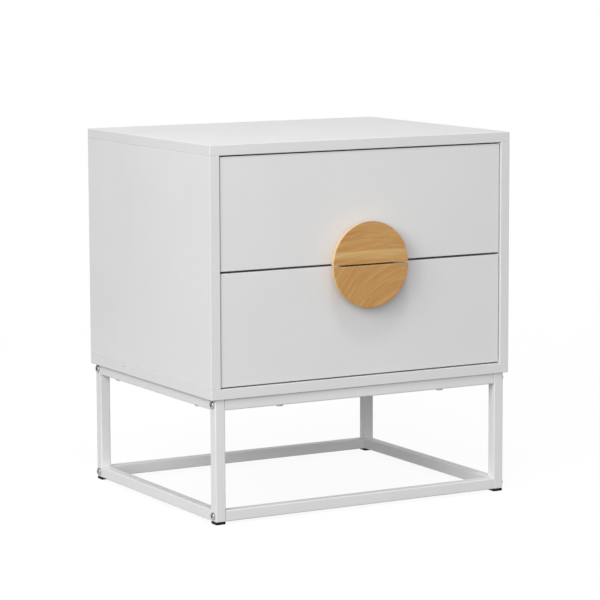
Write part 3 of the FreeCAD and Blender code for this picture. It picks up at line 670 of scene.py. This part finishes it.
drill(bottom_board, [
    stack((side * cabinet_high[0], hole_y, hole_z), (-side, 0, 0), hole) for side in (LEFT, RIGHT)
])
for piece in (top_board, bottom_board):
    finish_edges(piece)
for level in ("upper", "lower"):
    node = level + "_drawer_front"
    finish_edges(board(node, ROUND_X + ROUND_Z, MELAMINE, "white_melamine", level + "_drawer"))
print("top board faces:", len(top_board.data.polygons), " bottom board:", len(bottom_board.data.polygons))


# %% [markdown]
# ## Drawer boxes and back panel
# The boxes are the same kind of board, thinner, with tape only on the upper edge that a hand touches. The
# thin fibreboard sheets slide into grooves, so only their faces show.

# %% Boxes, bottoms and back
def sheet_panel(node, body):
    """Thin plain sheet in a node's box."""
    sheet = eased_block(*corners(node), SHEET_EASE, 2)
    fitted(node + "_sheet", [sheet], white_fibreboard, "white_hardboard", body, [node])


FOILED = [drawer_foil, melamine_edging, glue_line]
for level in ("upper", "lower"):
    body = level + "_drawer"
    for part in ("_left_side", "_right_side", "_back"):
        finish_edges(board(body + part, [(2, 1)], FOILED, "drawer_board", body, BOX_EASE))
    sheet_panel(body + "_bottom", body)
sheet_panel("back_panel", "cabinet")


# %% [markdown]
# ## Square tube
# The base is cold-drawn square tube with small corner radii. A side frame is four tubes mitred, welded and
# ground flush, so it can be one profile carried round a rectangle: a profile point at some depth below the
# outer face draws a smaller rectangle. The outer corner is dressed to a small radius by letting that
# rectangle's corner turn through an arc as long as the depth is less than the radius.

# %% Side frames
TUBE_EDGE = 1.5 * MM


def square_profile(width, edge, steps=4):
    """Rounded square from four quarter arcs: (depth, across) pairs, starting at the outer face."""
    t = np.linspace(0, np.pi / 2, steps + 1)
    inner = width - edge
    quarters = [
        (inner + edge * np.sin(t), inner + edge * np.cos(t)),
        (inner + edge * np.cos(t), edge - edge * np.sin(t)),
        (edge - edge * np.sin(t), edge - edge * np.cos(t)),
        (edge - edge * np.cos(t), inner + edge * np.sin(t)),
    ]
    return np.concatenate([np.stack(q, axis=1) for q in quarters])


def weld(shape, close=1e-7):
    """Merges points that coincide and drops the corners and faces that vanish with them."""
    points, faces = shape
    unique, same = np.unique(np.round(points / close).astype(np.int64), axis=0, return_inverse=True)
    same = same.reshape(-1)
    kept = np.zeros((len(unique), 3))
    kept[same] = points
    faces = [[i for k, i in enumerate(f) if i != f[k - 1]] for f in (same[f].tolist() for f in faces)]
    return kept, [f for f in faces if len(set(f)) > 2]


def tube_frame(low, high, width, dressed, steps=4):
    """Profile carried round a rectangle in the YZ plane with mitred corners and dressed outer edges."""
    depth, across = square_profile(width, TUBE_EDGE).T
    turn = np.linspace(0, np.pi / 2, steps + 1)[:, None]
    left = np.maximum(dressed - depth, 0)
    rings = []
    for corner in range(4):
        angle = turn + corner * np.pi / 2
        way = np.round([np.cos(corner * np.pi / 2 + np.pi / 4), np.sin(corner * np.pi / 2 + np.pi / 4)])
        y = (high[1] if way[0] > 0 else low[1]) - way[0] * (depth + left) + left * np.cos(angle)
        z = (high[2] if way[1] > 0 else low[2]) - way[1] * (depth + left) + left * np.sin(angle)
        x = np.broadcast_to(low[0] + across, y.shape)
        rings.append(np.stack([x, y, z], axis=-1))
    return outward(weld(skin(np.concatenate(rings), closed=True)))


DRESSED = 0.9 * MM
low, high = corners("left_side_frame")
tube = high[0] - low[0]
for side in ("left", "right"):
    node = side + "_side_frame"
    shape = tube_frame(*corners(node), tube, DRESSED)
    fitted(node + "_tube", [shape], frame_paint, "white_powder_coat", "cabinet", [node])
print("tube width, mm:", round(tube / MM, 2), " faces:", len(shape[1]))


# %% [markdown]
# ## Cross rails
# The cross rails are bolted, not welded, so a fine dark line shows where each end meets a leg. The tube stops
# just under half a millimetre short and its end is eased, as a sawn and deburred tube is.

# %% Cross rails
def bar(low, high, edge, end_ease, gap):
    """Rounded-square bar along X: the profile shrinks by the easing over its last bit at each end."""
    profile = square_profile(high[1] - low[1], edge)
    middle = (high[1] - low[1]) / 2
    t = np.linspace(0, np.pi / 2, 4)
    shrink = end_ease * (1 - np.sin(t))
    reach = end_ease * (1 - np.cos(t)) + gap
    shrink = np.concatenate([shrink, shrink[::-1]])
    x = np.concatenate([low[0] + reach, high[0] - reach[::-1]])
    scale = (1 - shrink / middle)[:, None]
    y = low[1] + middle + (profile[:, 0] - middle) * scale
    z = low[2] + middle + (profile[:, 1] - middle) * scale
    return outward(skin(np.stack([np.broadcast_to(x[:, None], y.shape), y, z], axis=-1)))


SAWN_EDGE, END_GAP = 0.4 * MM, 0.45 * MM
for end in ("front", "rear"):
    for height in ("upper", "lower"):
        node = f"{end}_{height}_rail"
        shape = bar(*corners(node), TUBE_EDGE, SAWN_EDGE, END_GAP)
        fitted(node + "_tube", [shape], frame_paint, "white_powder_coat", "cabinet", [node])
print("rails built")


# %% [markdown]
# ## Bolts, screws and feet
# Button-head bolts hold the rails, and broad pan-head screws hold the cabinet on the frame. Their places come
# from the separate solids of the CAD nodes: the head sits where the shank's box meets the tube's face.

# %% Frame fasteners and feet
BOLT_HEAD, BOLT_RADIUS, SOCKET = 3.0 * MM, 5.6 * MM, 4.0 * MM
MOUNT_HEAD, MOUNT_ARM = 2.6 * MM, 3.0 * MM


def frame_bolt(low, high, middle):
    """Only the head shows; its seat is the tube's outer face."""
    side = side_of(middle)
    outer = abs(low[0]) if side < 0 else high[0]
    seat = (side * (outer - BOLT_HEAD), middle[1], middle[2])
    return button_head(seat, (side, 0, 0), BOLT_RADIUS, BOLT_HEAD, SOCKET)


def mount_screw(low, high, middle):
    """Its head hangs below the frame's upper tube."""
    seat = (middle[0], middle[1], low[2] + MOUNT_HEAD)
    return pan_head(seat, (0, 0, -1), BOLT_RADIUS, MOUNT_HEAD, MOUNT_ARM)


def foot(low, high, middle):
    """Plug foot from the floor up to the tube's end, a little narrower than the tube."""
    high = np.array([high[0], high[1], tube_end])
    inset = np.array([0.25, 0.25, 0.0]) * MM
    return eased_block(low + inset, high - inset - (0, 0, 0.1 * MM), 0.9 * MM, 3)


tube_end = corners("left_side_frame")[0][2]
bolts = from_solids("frame_bolt_heads", "frame_bolts", "cabinet", frame_bolt, zinc, "zinc_steel")
screws = from_solids("mounting_screw_heads", "frame_mount_screws", "cabinet", mount_screw, zinc, "zinc_steel")
feet = from_solids("leg_feet", "feet", "cabinet", foot, black_plastic, "black_plastic")
print("bolts", bolts, "screws", screws, "feet", feet)


# %% [markdown]
# ## Half-round pulls
# Each pull is turned as half a disc: a rim that stands free and a smaller neck screwed to the drawer front.
# The outline is an arc closed by a straight edge, with small fillets where they meet. Rings of that outline
# are stacked from front to back: the front edge is eased, the rim's back is rounded off, and a cove leads
# into the neck, so fingers find a smooth hollow.

# %% Pulls
def half_disc(radius, chord, corner, arc_steps=72, turn_steps=6, flat_steps=16):
    """Outline of a disc cut by a chord, as (x, z): fillets of the corner radius touch arc and chord."""
    centre_z = chord + corner
    centre_x = math.sqrt((radius - corner) ** 2 - centre_z ** 2)
    start = math.atan2(centre_z, centre_x)
    first = np.linspace(-np.pi / 2, start, turn_steps + 1)[:-1]
    arc = np.linspace(start, np.pi - start, arc_steps + 1)
    last = np.linspace(np.pi - start, 1.5 * np.pi, turn_steps + 1)[1:]
    flat = np.linspace(-centre_x, centre_x, flat_steps + 1)[1:-1]
    parts = [
        (centre_x + corner * np.cos(first), centre_z + corner * np.sin(first)),
        (radius * np.cos(arc), radius * np.sin(arc)),
        (-centre_x + corner * np.cos(last), centre_z + corner * np.sin(last)),
        (flat, np.full(len(flat), chord)),
    ]
    return np.concatenate([np.stack(p, axis=1) for p in parts])


def pull(face_y, back_y, centre_z, radius, chord, up):
    """Stack of half-disc outlines along Y: levels are (radius, chord, corner, y)."""
    ease, back_ease, corner = 0.7 * MM, 0.9 * MM, 0.9 * MM
    rim, neck, cove = 6.5 * MM, 46 * MM, 3.0 * MM
    t = np.linspace(0, np.pi / 2, 6)
    levels = [(radius - d, chord + d, corner - d, y)
              for d, y in zip(ease * (1 - np.sin(t)), face_y + ease * (1 - np.cos(t)))]
    levels += [(radius - d, chord, corner, face_y + rim - back_ease + back_ease * np.sin(a))
               for a, d in zip(t, back_ease * (1 - np.cos(t)))]
    root = face_y + rim + 0.3 * MM
    levels += [(neck + cove * (1 - np.sin(a)), chord, corner, root + cove * (1 - np.cos(a))) for a in t]
    levels.append((neck, chord, corner, back_y))
    rings = []
    for size, cut, fillet, y in levels:
        x, z = half_disc(size, cut, fillet).T
        rings.append(np.stack([x, np.full(len(x), y), centre_z + up * z], axis=-1))
    return outward(skin(rings))


HALF_SEAM = 0.3 * MM
split_z = disc_centre[2]
for level, wood, up in (("upper", upper_wood, 1), ("lower", lower_wood, -1)):
    low, high = corners(level + "_handle")
    chord = ((low[2] - split_z) if up > 0 else (split_z - high[2])) - HALF_SEAM
    shape = pull(low[1], high[1], split_z, (high[0] - low[0]) / 2, chord, up)
    fitted(level + "_pull", [shape], wood, "handle_wood", level + "_drawer", [level + "_handle"], sharp=50.0)
    print(level, "pull, mm:", np.round(low / MM, 1), np.round(high / MM, 1), "chord", round(chord / MM, 2))


# %% [markdown]
# ## Folded sheet
# A drawer runner is a strip of steel folded on a press. Its section is one line with round bends, given a
# thickness: every point of the line is pushed half the thickness to each side, and that closed outline is
# carried along the runner's length.

# %% Folded strip
def bent_line(points, radius, steps=5):
    """Polyline with arcs at its corners: each arc starts and ends the same distance from its corner.

    Returns the line's points and the unit normals on its left."""
    points = np.asarray(points, float)
    line = [points[0]]
    for before, corner, after in zip(points[:-2], points[1:-1], points[2:]):
        into, out = corner - before, after - corner
        into, out = into / np.linalg.norm(into), out / np.linalg.norm(out)
        side = np.sign(into[0] * out[1] - into[1] * out[0])
        centre = corner - radius * into + side * radius * np.array([-into[1], into[0]])
        start = math.atan2(*(corner - radius * into - centre)[::-1])
        sweep = side * np.linspace(0, np.pi / 2, steps + 1)
        line.extend(centre + radius * np.stack([np.cos(start + sweep), np.sin(start + sweep)], axis=1))
    line.append(points[-1])
    line = np.array(line)
    along = np.gradient(line, axis=0)
    along[[0, -1]] = line[1] - line[0], line[-1] - line[-2]
    along /= np.linalg.norm(along, axis=1, keepdims=True)
    return line, np.stack([-along[:, 1], along[:, 0]], axis=1)


def folded_strip(points, radius, thick, y_from, y_to):
    """Outline of a bent line with thickness, carried along Y; points are (x, z)."""
    line, normal = bent_line(points, radius)
    outline = np.concatenate([line + normal * thick / 2, (line - normal * thick / 2)[::-1]])
    ease = 0.15 * MM
    rings = []
    for y in (y_from, y_from + ease, y_to - ease, y_to):
        rings.append(np.stack([outline[:, 0], np.full(len(outline), y), outline[:, 1]], axis=1))
    return outward(skin(rings))


SHEET = 1.0 * MM
print("bent line of a right angle:", bent_line([(0, 0), (5, 0), (5, 5)], 1.0)[0].round(2).tolist()[:3])


# %% [markdown]
# ## Drawer runners
# Each drawer hangs on two pairs of roller runners. The cabinet member is a channel with its roller at the
# front; the drawer member is a Z under the box with its roller at the rear, and its top flange runs over the
# front roller. Two small tabs in the channel stop the rear roller at both ends of its run.

# %% Runner members
LIP, BEND, WEB = 3.5 * MM, 0.9 * MM, 12.5 * MM
TAB_HEIGHT, TAB_THICK, TAB_INSET, TAB_CLEAR = 3.0 * MM, 1.5 * MM, 0.5 * MM, 0.4 * MM
half = SHEET / 2
travel = next(joint["range_m"][1] for joint in frame["joints"] if joint["name"] == "upper_drawer_slide")
for level in ("upper", "lower"):
    for side_name, side in SIDES:
        node = f"{level}_{side_name}_cabinet_runner"
        low, high = corners(node)
        wall = low[0] if side < 0 else high[0]
        reach = high[0] - low[0]
        inner = wall - side * (reach - half)
        outer = wall - side * half
        path = [(inner, low[2] + LIP), (inner, low[2] + half), (outer, low[2] + half),
                (outer, high[2] - half), (wall - side * reach, high[2] - half)]
        shapes = [folded_strip(path, BEND, SHEET, low[1], high[1])]
        wheel_low, wheel_high = corners(f"{level}_{side_name}_rear_roller")
        centre = (wheel_low + wheel_high) / 2
        radius = (wheel_high[2] - wheel_low[2]) / 2
        track = low[2] + SHEET
        drop = centre[2] - track - TAB_HEIGHT
        clear = math.sqrt(radius ** 2 - drop ** 2) + TAB_CLEAR
        for y in (centre[1] - travel - clear - TAB_THICK, centre[1] + clear):
            tab_low = (wheel_low[0] + TAB_INSET, y, track)
            tab_high = (wheel_high[0] - TAB_INSET, y + TAB_THICK, track + TAB_HEIGHT)
            shapes.append(eased_block(tab_low, tab_high, 0.3 * MM, 2))
        fitted(node + "_channel", shapes, runner_paint, "runner_epoxy", "cabinet", [node])

        node = f"{level}_{side_name}_drawer_runner"
        low, high = corners(node)
        under = high[0] if side < 0 else low[0]
        rim = low[0] if side < 0 else high[0]
        web = under + side * WEB
        path = [(under, low[2] + half), (web, low[2] + half), (web, high[2] - half), (rim, high[2] - half)]
        shapes = [folded_strip(path, BEND, SHEET, low[1], high[1])]
        fitted(node + "_member", shapes, runner_paint, "runner_epoxy", level + "_drawer", [node])
print("travel, mm:", round(travel / MM, 1))


# %% [markdown]
# ## Rollers and their rivets
# A roller is turned nylon: a flat tread with small radii, a shallow groove moulded into each face to save
# plastic, and a counterbore that hides the rivet's head. Each one rides on its own body, because it spins as
# the drawer moves.

# %% Rollers and rivets
def wheel(centre, way, radius, width):
    """Closed ring of a roller; way points to the counterbored face."""
    half = width / 2
    bore, counterbore, deep, groove = 2.6 * MM, 4.5 * MM, 1.3 * MM, 0.5 * MM
    side = [(5.6 * MM, 0.0), (5.9 * MM, groove), (7.6 * MM, groove), (7.9 * MM, 0.0)]
    side += [(radius - 0.6 * MM, 0.0), (radius - 0.18 * MM, 0.18 * MM), (radius, 0.6 * MM)]
    levels = [(bore, -half)] + [(size, depth - half) for size, depth in side]
    levels += [(size, half - depth) for size, depth in side[::-1]]
    levels += [(counterbore, half), (counterbore, half - deep), (bore, half - deep)]
    return stack(centre, way, levels, closed=True)


def rivet(centre, way, marks):
    """Shouldered rivet: marks are the end, the shoulder's two faces, the head's underside and its crown."""
    end, seat, shoulder, under, crown = marks
    thin, thick = 2.5 * MM, 4.0 * MM
    levels = [(thin - 0.3 * MM, end), (thin, end + 0.3 * MM), (thin, seat), (thick, seat), (thick, shoulder),
              (thin, shoulder), (thin, under), (thick, under), (thick, crown - 0.4 * MM)]
    levels += [(thick * 0.85, crown - 0.1 * MM), (thick * 0.6, crown)]
    return stack(centre, way, levels)


FRONT_MARKS = np.array([0.1, 1.0, 2.6, 7.5, 8.4]) * MM
REAR_MARKS = np.array([-12.4, -11.5, -8.8, -3.9, -3.0]) * MM
cabinet_rivets, drawer_rivets = [], {"upper": [], "lower": []}
for level in ("upper", "lower"):
    for side_name, side in SIDES:
        panel_x = corners(f"{side_name}_side_panel")[1 if side < 0 else 0][0]
        for end, way in (("front", -side), ("rear", side)):
            node = f"{level}_{side_name}_{end}_roller"
            low, high = corners(node)
            centre = (low + high) / 2
            shape = wheel(centre, (way, 0, 0), (high[2] - low[2]) / 2, high[0] - low[0])
            fitted(node + "_wheel", [shape], nylon, "nylon", node, [node], sharp=50.0)
            from_panel = (panel_x, centre[1], centre[2])
            if end == "front":
                cabinet_rivets.append(rivet(from_panel, (way, 0, 0), FRONT_MARKS))
            else:
                drawer_rivets[level].append(rivet(from_panel, (way, 0, 0), REAR_MARKS))
fitted("cabinet_roller_rivets", cabinet_rivets, zinc, "zinc_steel", "cabinet", ["cabinet_roller_axles"])
for level, rivets in drawer_rivets.items():
    fitted(level + "_drawer_roller_rivets", rivets, zinc, "zinc_steel", level + "_drawer",
           [level + "_drawer_roller_axles"])
print("rivets:", len(cabinet_rivets) + sum(map(len, drawer_rivets.values())))


# %% [markdown]
# ## Threads, screws and cams
# The screws of the carcass and the drawers are seen when a drawer is out or the piece is turned over. Each is
# one stack from point to head: the thread is a row of rings that swell and shrink with the pitch. The cams
# that pull the boards together are zinc castings with a crossed slot, a hair proud of the board.

# %% Screws and cams
def thread(radius, length, pitch, core=0.72):
    """Levels of a screw's shank from its point up to the seat: ridges one pitch apart, then a plain neck."""
    tip = 2.2 * radius
    ridges = np.arange(-length + tip, -1.2 * pitch, pitch / 2)
    sizes = np.where(np.arange(len(ridges)) % 2 == 0, radius * core, radius)
    return [(radius * 0.12, -length)] + list(zip(sizes, ridges)) + [(radius * 0.92, -0.6 * pitch)]


def pan_screw(seat, axis, head, height, arm, radius, length, pitch):
    """Threaded screw with a pan head and a crossed recess; axis points out of the head."""
    levels = thread(radius, length, pitch) + [(radius * 0.92, 0.0), (head * 0.97, 0.0)]
    levels += dome(head, head * 0.7, 0.3 * height, height)
    levels += recess(arm, (height, height * 0.75, height * 0.3, height * 0.2))
    return stack(seat, axis, levels)


def flat_screw(mouth, axis, head, radius, length, pitch):
    """Countersunk screw whose flat head ends at the board's face; axis points out of the head."""
    levels = thread(radius, length, pitch) + [(radius * 0.92, -(head - radius)), (head * 0.96, -0.25 * MM)]
    levels += [(head, -0.05 * MM), (head * 0.98, 0.08 * MM), (head * 0.7, 0.1 * MM)]
    levels += recess(head * 0.58, (0.1 * MM, -0.6 * MM, -1.5 * MM, -1.7 * MM))
    return stack(mouth, axis, levels)


def cam(face, axis, radius, deep):
    """Cam casting: a rim, a shallow dish and a crossed slot; axis points out of the board."""
    proud = 0.25 * MM
    arm = radius * 0.55
    levels = [(radius - 0.3 * MM, -deep), (radius, -deep + 0.3 * MM), (radius, proud - 0.2 * MM)]
    levels += [(radius - 0.2 * MM, proud), (radius * 0.82, proud), (radius * 0.76, proud - 0.15 * MM)]
    levels += [(cross_radius(arm, arm * 0.22), proud - 0.15 * MM), (cross_radius(arm, arm * 0.2), -1.8 * MM)]
    levels += [(arm * 0.15, -2.0 * MM)]
    return stack(face, axis, levels)


def inner_face(low, high, middle):
    """Point of a solid that lies along X, on its end towards the middle of the cabinet."""
    return (low[0] if middle[0] > 0 else high[0], middle[1], middle[2])


def runner_screw(low, high, middle):
    """Small pan screw from inside the channel into the side panel."""
    side = side_of(middle)
    x, y, z = inner_face(low, high, middle)
    return pan_screw((x + side * 1.4 * MM, y, z), (-side, 0, 0), head=3.6 * MM, height=1.5 * MM,
                     arm=1.9 * MM, radius=2.0 * MM, length=11.0 * MM, pitch=1.4 * MM)


def carcass_screw(low, high, middle):
    """Long screw up through the bottom panel into a side panel's edge."""
    mouth = (middle[0], middle[1], cabinet_low[2])
    return flat_screw(mouth, (0, 0, -1), head=4.5 * MM, radius=2.5 * MM, length=50.0 * MM, pitch=2.0 * MM)


def cam_lock(low, high, middle):
    face = inner_face(low, high, middle)
    return cam(face, (-side_of(middle), 0, 0), (high[1] - low[1]) / 2, high[0] - low[0])


def box_screw(low, high, middle):
    """A long countersunk screw through a side into the back, or a small pan screw up through the runner."""
    side = side_of(middle)
    if high[0] - low[0] > high[2] - low[2]:
        mouth = (side * box_half, middle[1], middle[2])
        return flat_screw(mouth, (side, 0, 0), head=3.8 * MM, radius=2.0 * MM,
                          length=35.0 * MM, pitch=1.8 * MM)
    head_height = 1.5 * MM
    return pan_screw((middle[0], middle[1], low[2] + head_height), (0, 0, -1), head=3.2 * MM,
                     height=head_height, arm=1.7 * MM, radius=1.5 * MM, length=9.0 * MM, pitch=1.2 * MM)


def pull_screw(low, high, middle):
    """The head sits inside the drawer, and the thread ends where the plain shank does."""
    head_height = 2.4 * MM
    seat = (middle[0], high[1] - head_height, middle[2])
    length = high[1] - head_height - low[1]
    return pan_screw(seat, (0, 1, 0), head=4.0 * MM, height=head_height, arm=2.2 * MM,
                     radius=2.0 * MM, length=length, pitch=1.0 * MM)


ZINC, CAST = (zinc, "zinc_steel"), (cast_zinc, "cast_zinc")
box_half = corners("upper_drawer_right_side")[1][0]
from_solids("runner_screws_in_panels", "cabinet_runner_screws", "cabinet", runner_screw, *ZINC)
from_solids("carcass_long_screws", "carcass_screws", "cabinet", carcass_screw, *ZINC)
from_solids("cabinet_cams", "cabinet_cam_locks", "cabinet", cam_lock, *CAST)
for level in ("upper", "lower"):
    body = level + "_drawer"
    from_solids(body + "_cams", body + "_cam_locks", body, cam_lock, *CAST)
    from_solids(body + "_box_screws", body + "_screws", body, box_screw, *ZINC)
    from_solids(level + "_pull_screws", level + "_handle_screws", body, pull_screw, *ZINC)
print("screws and cams done")


# %% [markdown]
# ## Hidden hardware
# Dowels, cam bolts and the threaded plates inside the tube ends never show. Their plain CAD shapes stay, with
# the right finishes.

# %% Finishes of the parts that stay
HIDDEN = {
    "cabinet_dowels": dowel_wood, "cabinet_cam_bolts": zinc, "rail_end_plates": zinc,
    "upper_drawer_cam_bolts": zinc, "lower_drawer_cam_bolts": zinc,
}
for node, material in HIDDEN.items():
    for material_slot in frame["nodes"][node].material_slots:
        material_slot.material = material
print("kept CAD parts:", sorted(HIDDEN))


# %% [markdown]
# ## Floor
# A studio cove is one sheet of lit paper, so the floor has no edge and hardly any shadow. Here it is a wide
# disc that is mostly its own light, with a little matt paper mixed in to take a faint shadow. It turns clear
# towards its rim, which lets it melt into the white world behind. Its light is left out of what reaches the
# object, because the world's lower half already gives that.

# %% Floor
def floor_material():
    """Lit matt paper, clear beyond a distance from the middle."""
    material, tree, shader = new_material("studio_paper", Roughness=0.9, Specular_IOR_Level=0.0)
    shader.inputs["Emission Color"].default_value = (1, 1, 1, 1)
    shader.inputs["Emission Strength"].default_value = 0.925
    material.cycles.emission_sampling = "NONE"
    metres = place(tree)
    grain = noise(tree, metres, 240.0, 3.0, 0.6)
    tone = ramp(tree, grain, [(0.3, grey(0.079)), (0.7, grey(0.083))])
    connect(tree, shader, Base_Color=tone)
    far = add_node(tree, "ShaderNodeVectorMath", {0: metres}, operation="LENGTH").outputs["Value"]
    tree.links.new(spread(tree, far, 0.9, 2.6, 1.0, 0.0), shader.inputs["Alpha"])
    return material


FLOOR_RADII, FLOOR_SPOKES, FLOOR_DROP = (0.02, 0.6, 1.4, 3.0), 96, 0.4 * MM
turn = ring_angles(FLOOR_SPOKES)
circle = np.stack([np.cos(turn), np.sin(turn), np.zeros(FLOOR_SPOKES)], axis=1)
rings = np.stack([circle * radius - (0, 0, FLOOR_DROP) for radius in FLOOR_RADII])
points, faces = skin(rings, caps=False)
faces.append(list(range(FLOOR_SPOKES)))
floor = add_mesh("studio_floor", points, faces, [floor_material()])
floor.visible_diffuse = False
floor.visible_shadow = False
print("floor radius, m:", FLOOR_RADII[-1])


# %% [markdown]
# ## Light
# The room is a white tent: even light from above and a little from below. Broad lit walls stand at the front
# left and overhead. A soft panel close to the left side gives the slow fall-off along the boards, and a
# smaller one high at the front throws the pulls' shadows down the drawers. A weak lamp behind keeps the back
# readable. It is left out of reflections, so it puts no glare on the top. Rays that reach the world straight
# from the camera see plain white, so the background stays clean.

# %% World and lamps
def studio_world(above, below):
    """World light with one strength above the horizon and another below it; white where it is seen."""
    world = bpy.data.worlds.new("studio")
    world.use_nodes = True
    tree = world.node_tree
    tree.nodes.clear()
    way = add_node(tree, "ShaderNodeTexCoord").outputs["Generated"]
    height = add_node(tree, "ShaderNodeSeparateXYZ", {0: way}).outputs["Z"]
    strength = spread(tree, height, -0.05, 0.05, below, above)
    tent = add_node(tree, "ShaderNodeBackground", {"Color": (1, 1, 1, 1), "Strength": strength})
    seen = add_node(tree, "ShaderNodeBackground", {"Color": (1, 1, 1, 1), "Strength": 1.0})
    path = add_node(tree, "ShaderNodeLightPath")
    both = add_node(tree, "ShaderNodeMixShader", {
        0: path.outputs["Is Camera Ray"], 1: tent.outputs[0], 2: seen.outputs[0]})
    out = add_node(tree, "ShaderNodeOutputWorld")
    tree.links.new(both.outputs[0], out.inputs["Surface"])
    bpy.context.scene.world = world


def put_lamp(name, data, spot, target):
    """Places a lamp and turns it so that it shines at the target."""
    lamp = bpy.data.objects.new(name, data)
    lamp.location = spot
    lamp.rotation_euler = (Vector(target) - lamp.location).to_track_quat("-Z", "Y").to_euler()
    bpy.context.scene.collection.objects.link(lamp)
    return lamp


def panel_lamp(name, spot, target, size, watts):
    data = bpy.data.lights.new(name, "AREA")
    data.shape = "RECTANGLE"
    data.size = data.size_y = size
    data.energy = watts
    return put_lamp(name, data, spot, target)


def distant_lamp(name, azimuth, elevation, spread_angle, strength):
    """Sun lamp as wide as a large lit wall; its azimuth is measured from the front, positive to the right."""
    data = bpy.data.lights.new(name, "SUN")
    data.angle = math.radians(spread_angle)
    data.energy = strength
    turn, rise = math.radians(azimuth), math.radians(elevation)
    way = Vector((math.sin(turn) * math.cos(rise), -math.cos(turn) * math.cos(rise), math.sin(rise)))
    return put_lamp(name, data, way * 5.0, (0, 0, 0))


AIM = (0, 0, 0.3)
studio_world(0.46, 0.05)
distant_lamp("front_left_wall", -40, 15, 50, 1.5)
distant_lamp("ceiling", 0, 85, 60, 0.1)
rear_fill = distant_lamp("rear_fill", 150, 35, 60, 0.75)
rear_fill.visible_glossy = False
panel_lamp("left_panel", (-2.0, -1.0, 1.3), AIM, 1.0, 23.0)
panel_lamp("upper_panel", (-0.45, -1.0, 2.45), AIM, 0.4, 11.0)
bpy.context.scene.view_settings.view_transform = "Standard"


# %% [markdown]
# ## Camera
# The camera stands a little under four metres away at the front left, barely above the top's height and
# looking slightly down, with a long lens, so the uprights stay nearly parallel. Its frame is built from its
# yaw, pitch and a hair of roll.

# %% Camera
camera_spot = (-1.99309, -3.54019, 0.83009)
yaw, pitch, roll = 0.5128657, 0.1335421, -0.0036472
forward = Vector((math.sin(yaw) * math.cos(pitch), math.cos(yaw) * math.cos(pitch), -math.sin(pitch)))
level_right = Vector((math.cos(yaw), -math.sin(yaw), 0.0))
level_up = level_right.cross(forward)
turned_right = level_right * math.cos(roll) + level_up * math.sin(roll)
turned_up = level_up * math.cos(roll) - level_right * math.sin(roll)
lens = bpy.data.cameras.new("studio_camera")
lens.lens, lens.sensor_width, lens.clip_end = 163.27, 36.0, 60.0
camera = bpy.data.objects.new("studio_camera", lens)
camera.matrix_world = Matrix.Translation(camera_spot) @ Matrix((
    (turned_right.x, turned_up.x, -forward.x, 0),
    (turned_right.y, turned_up.y, -forward.y, 0),
    (turned_right.z, turned_up.z, -forward.z, 0),
    (0, 0, 0, 1)))
bpy.context.scene.collection.objects.link(camera)
bpy.context.scene.camera = camera
print("camera distance, m:", round(camera.matrix_world.translation.length, 3))
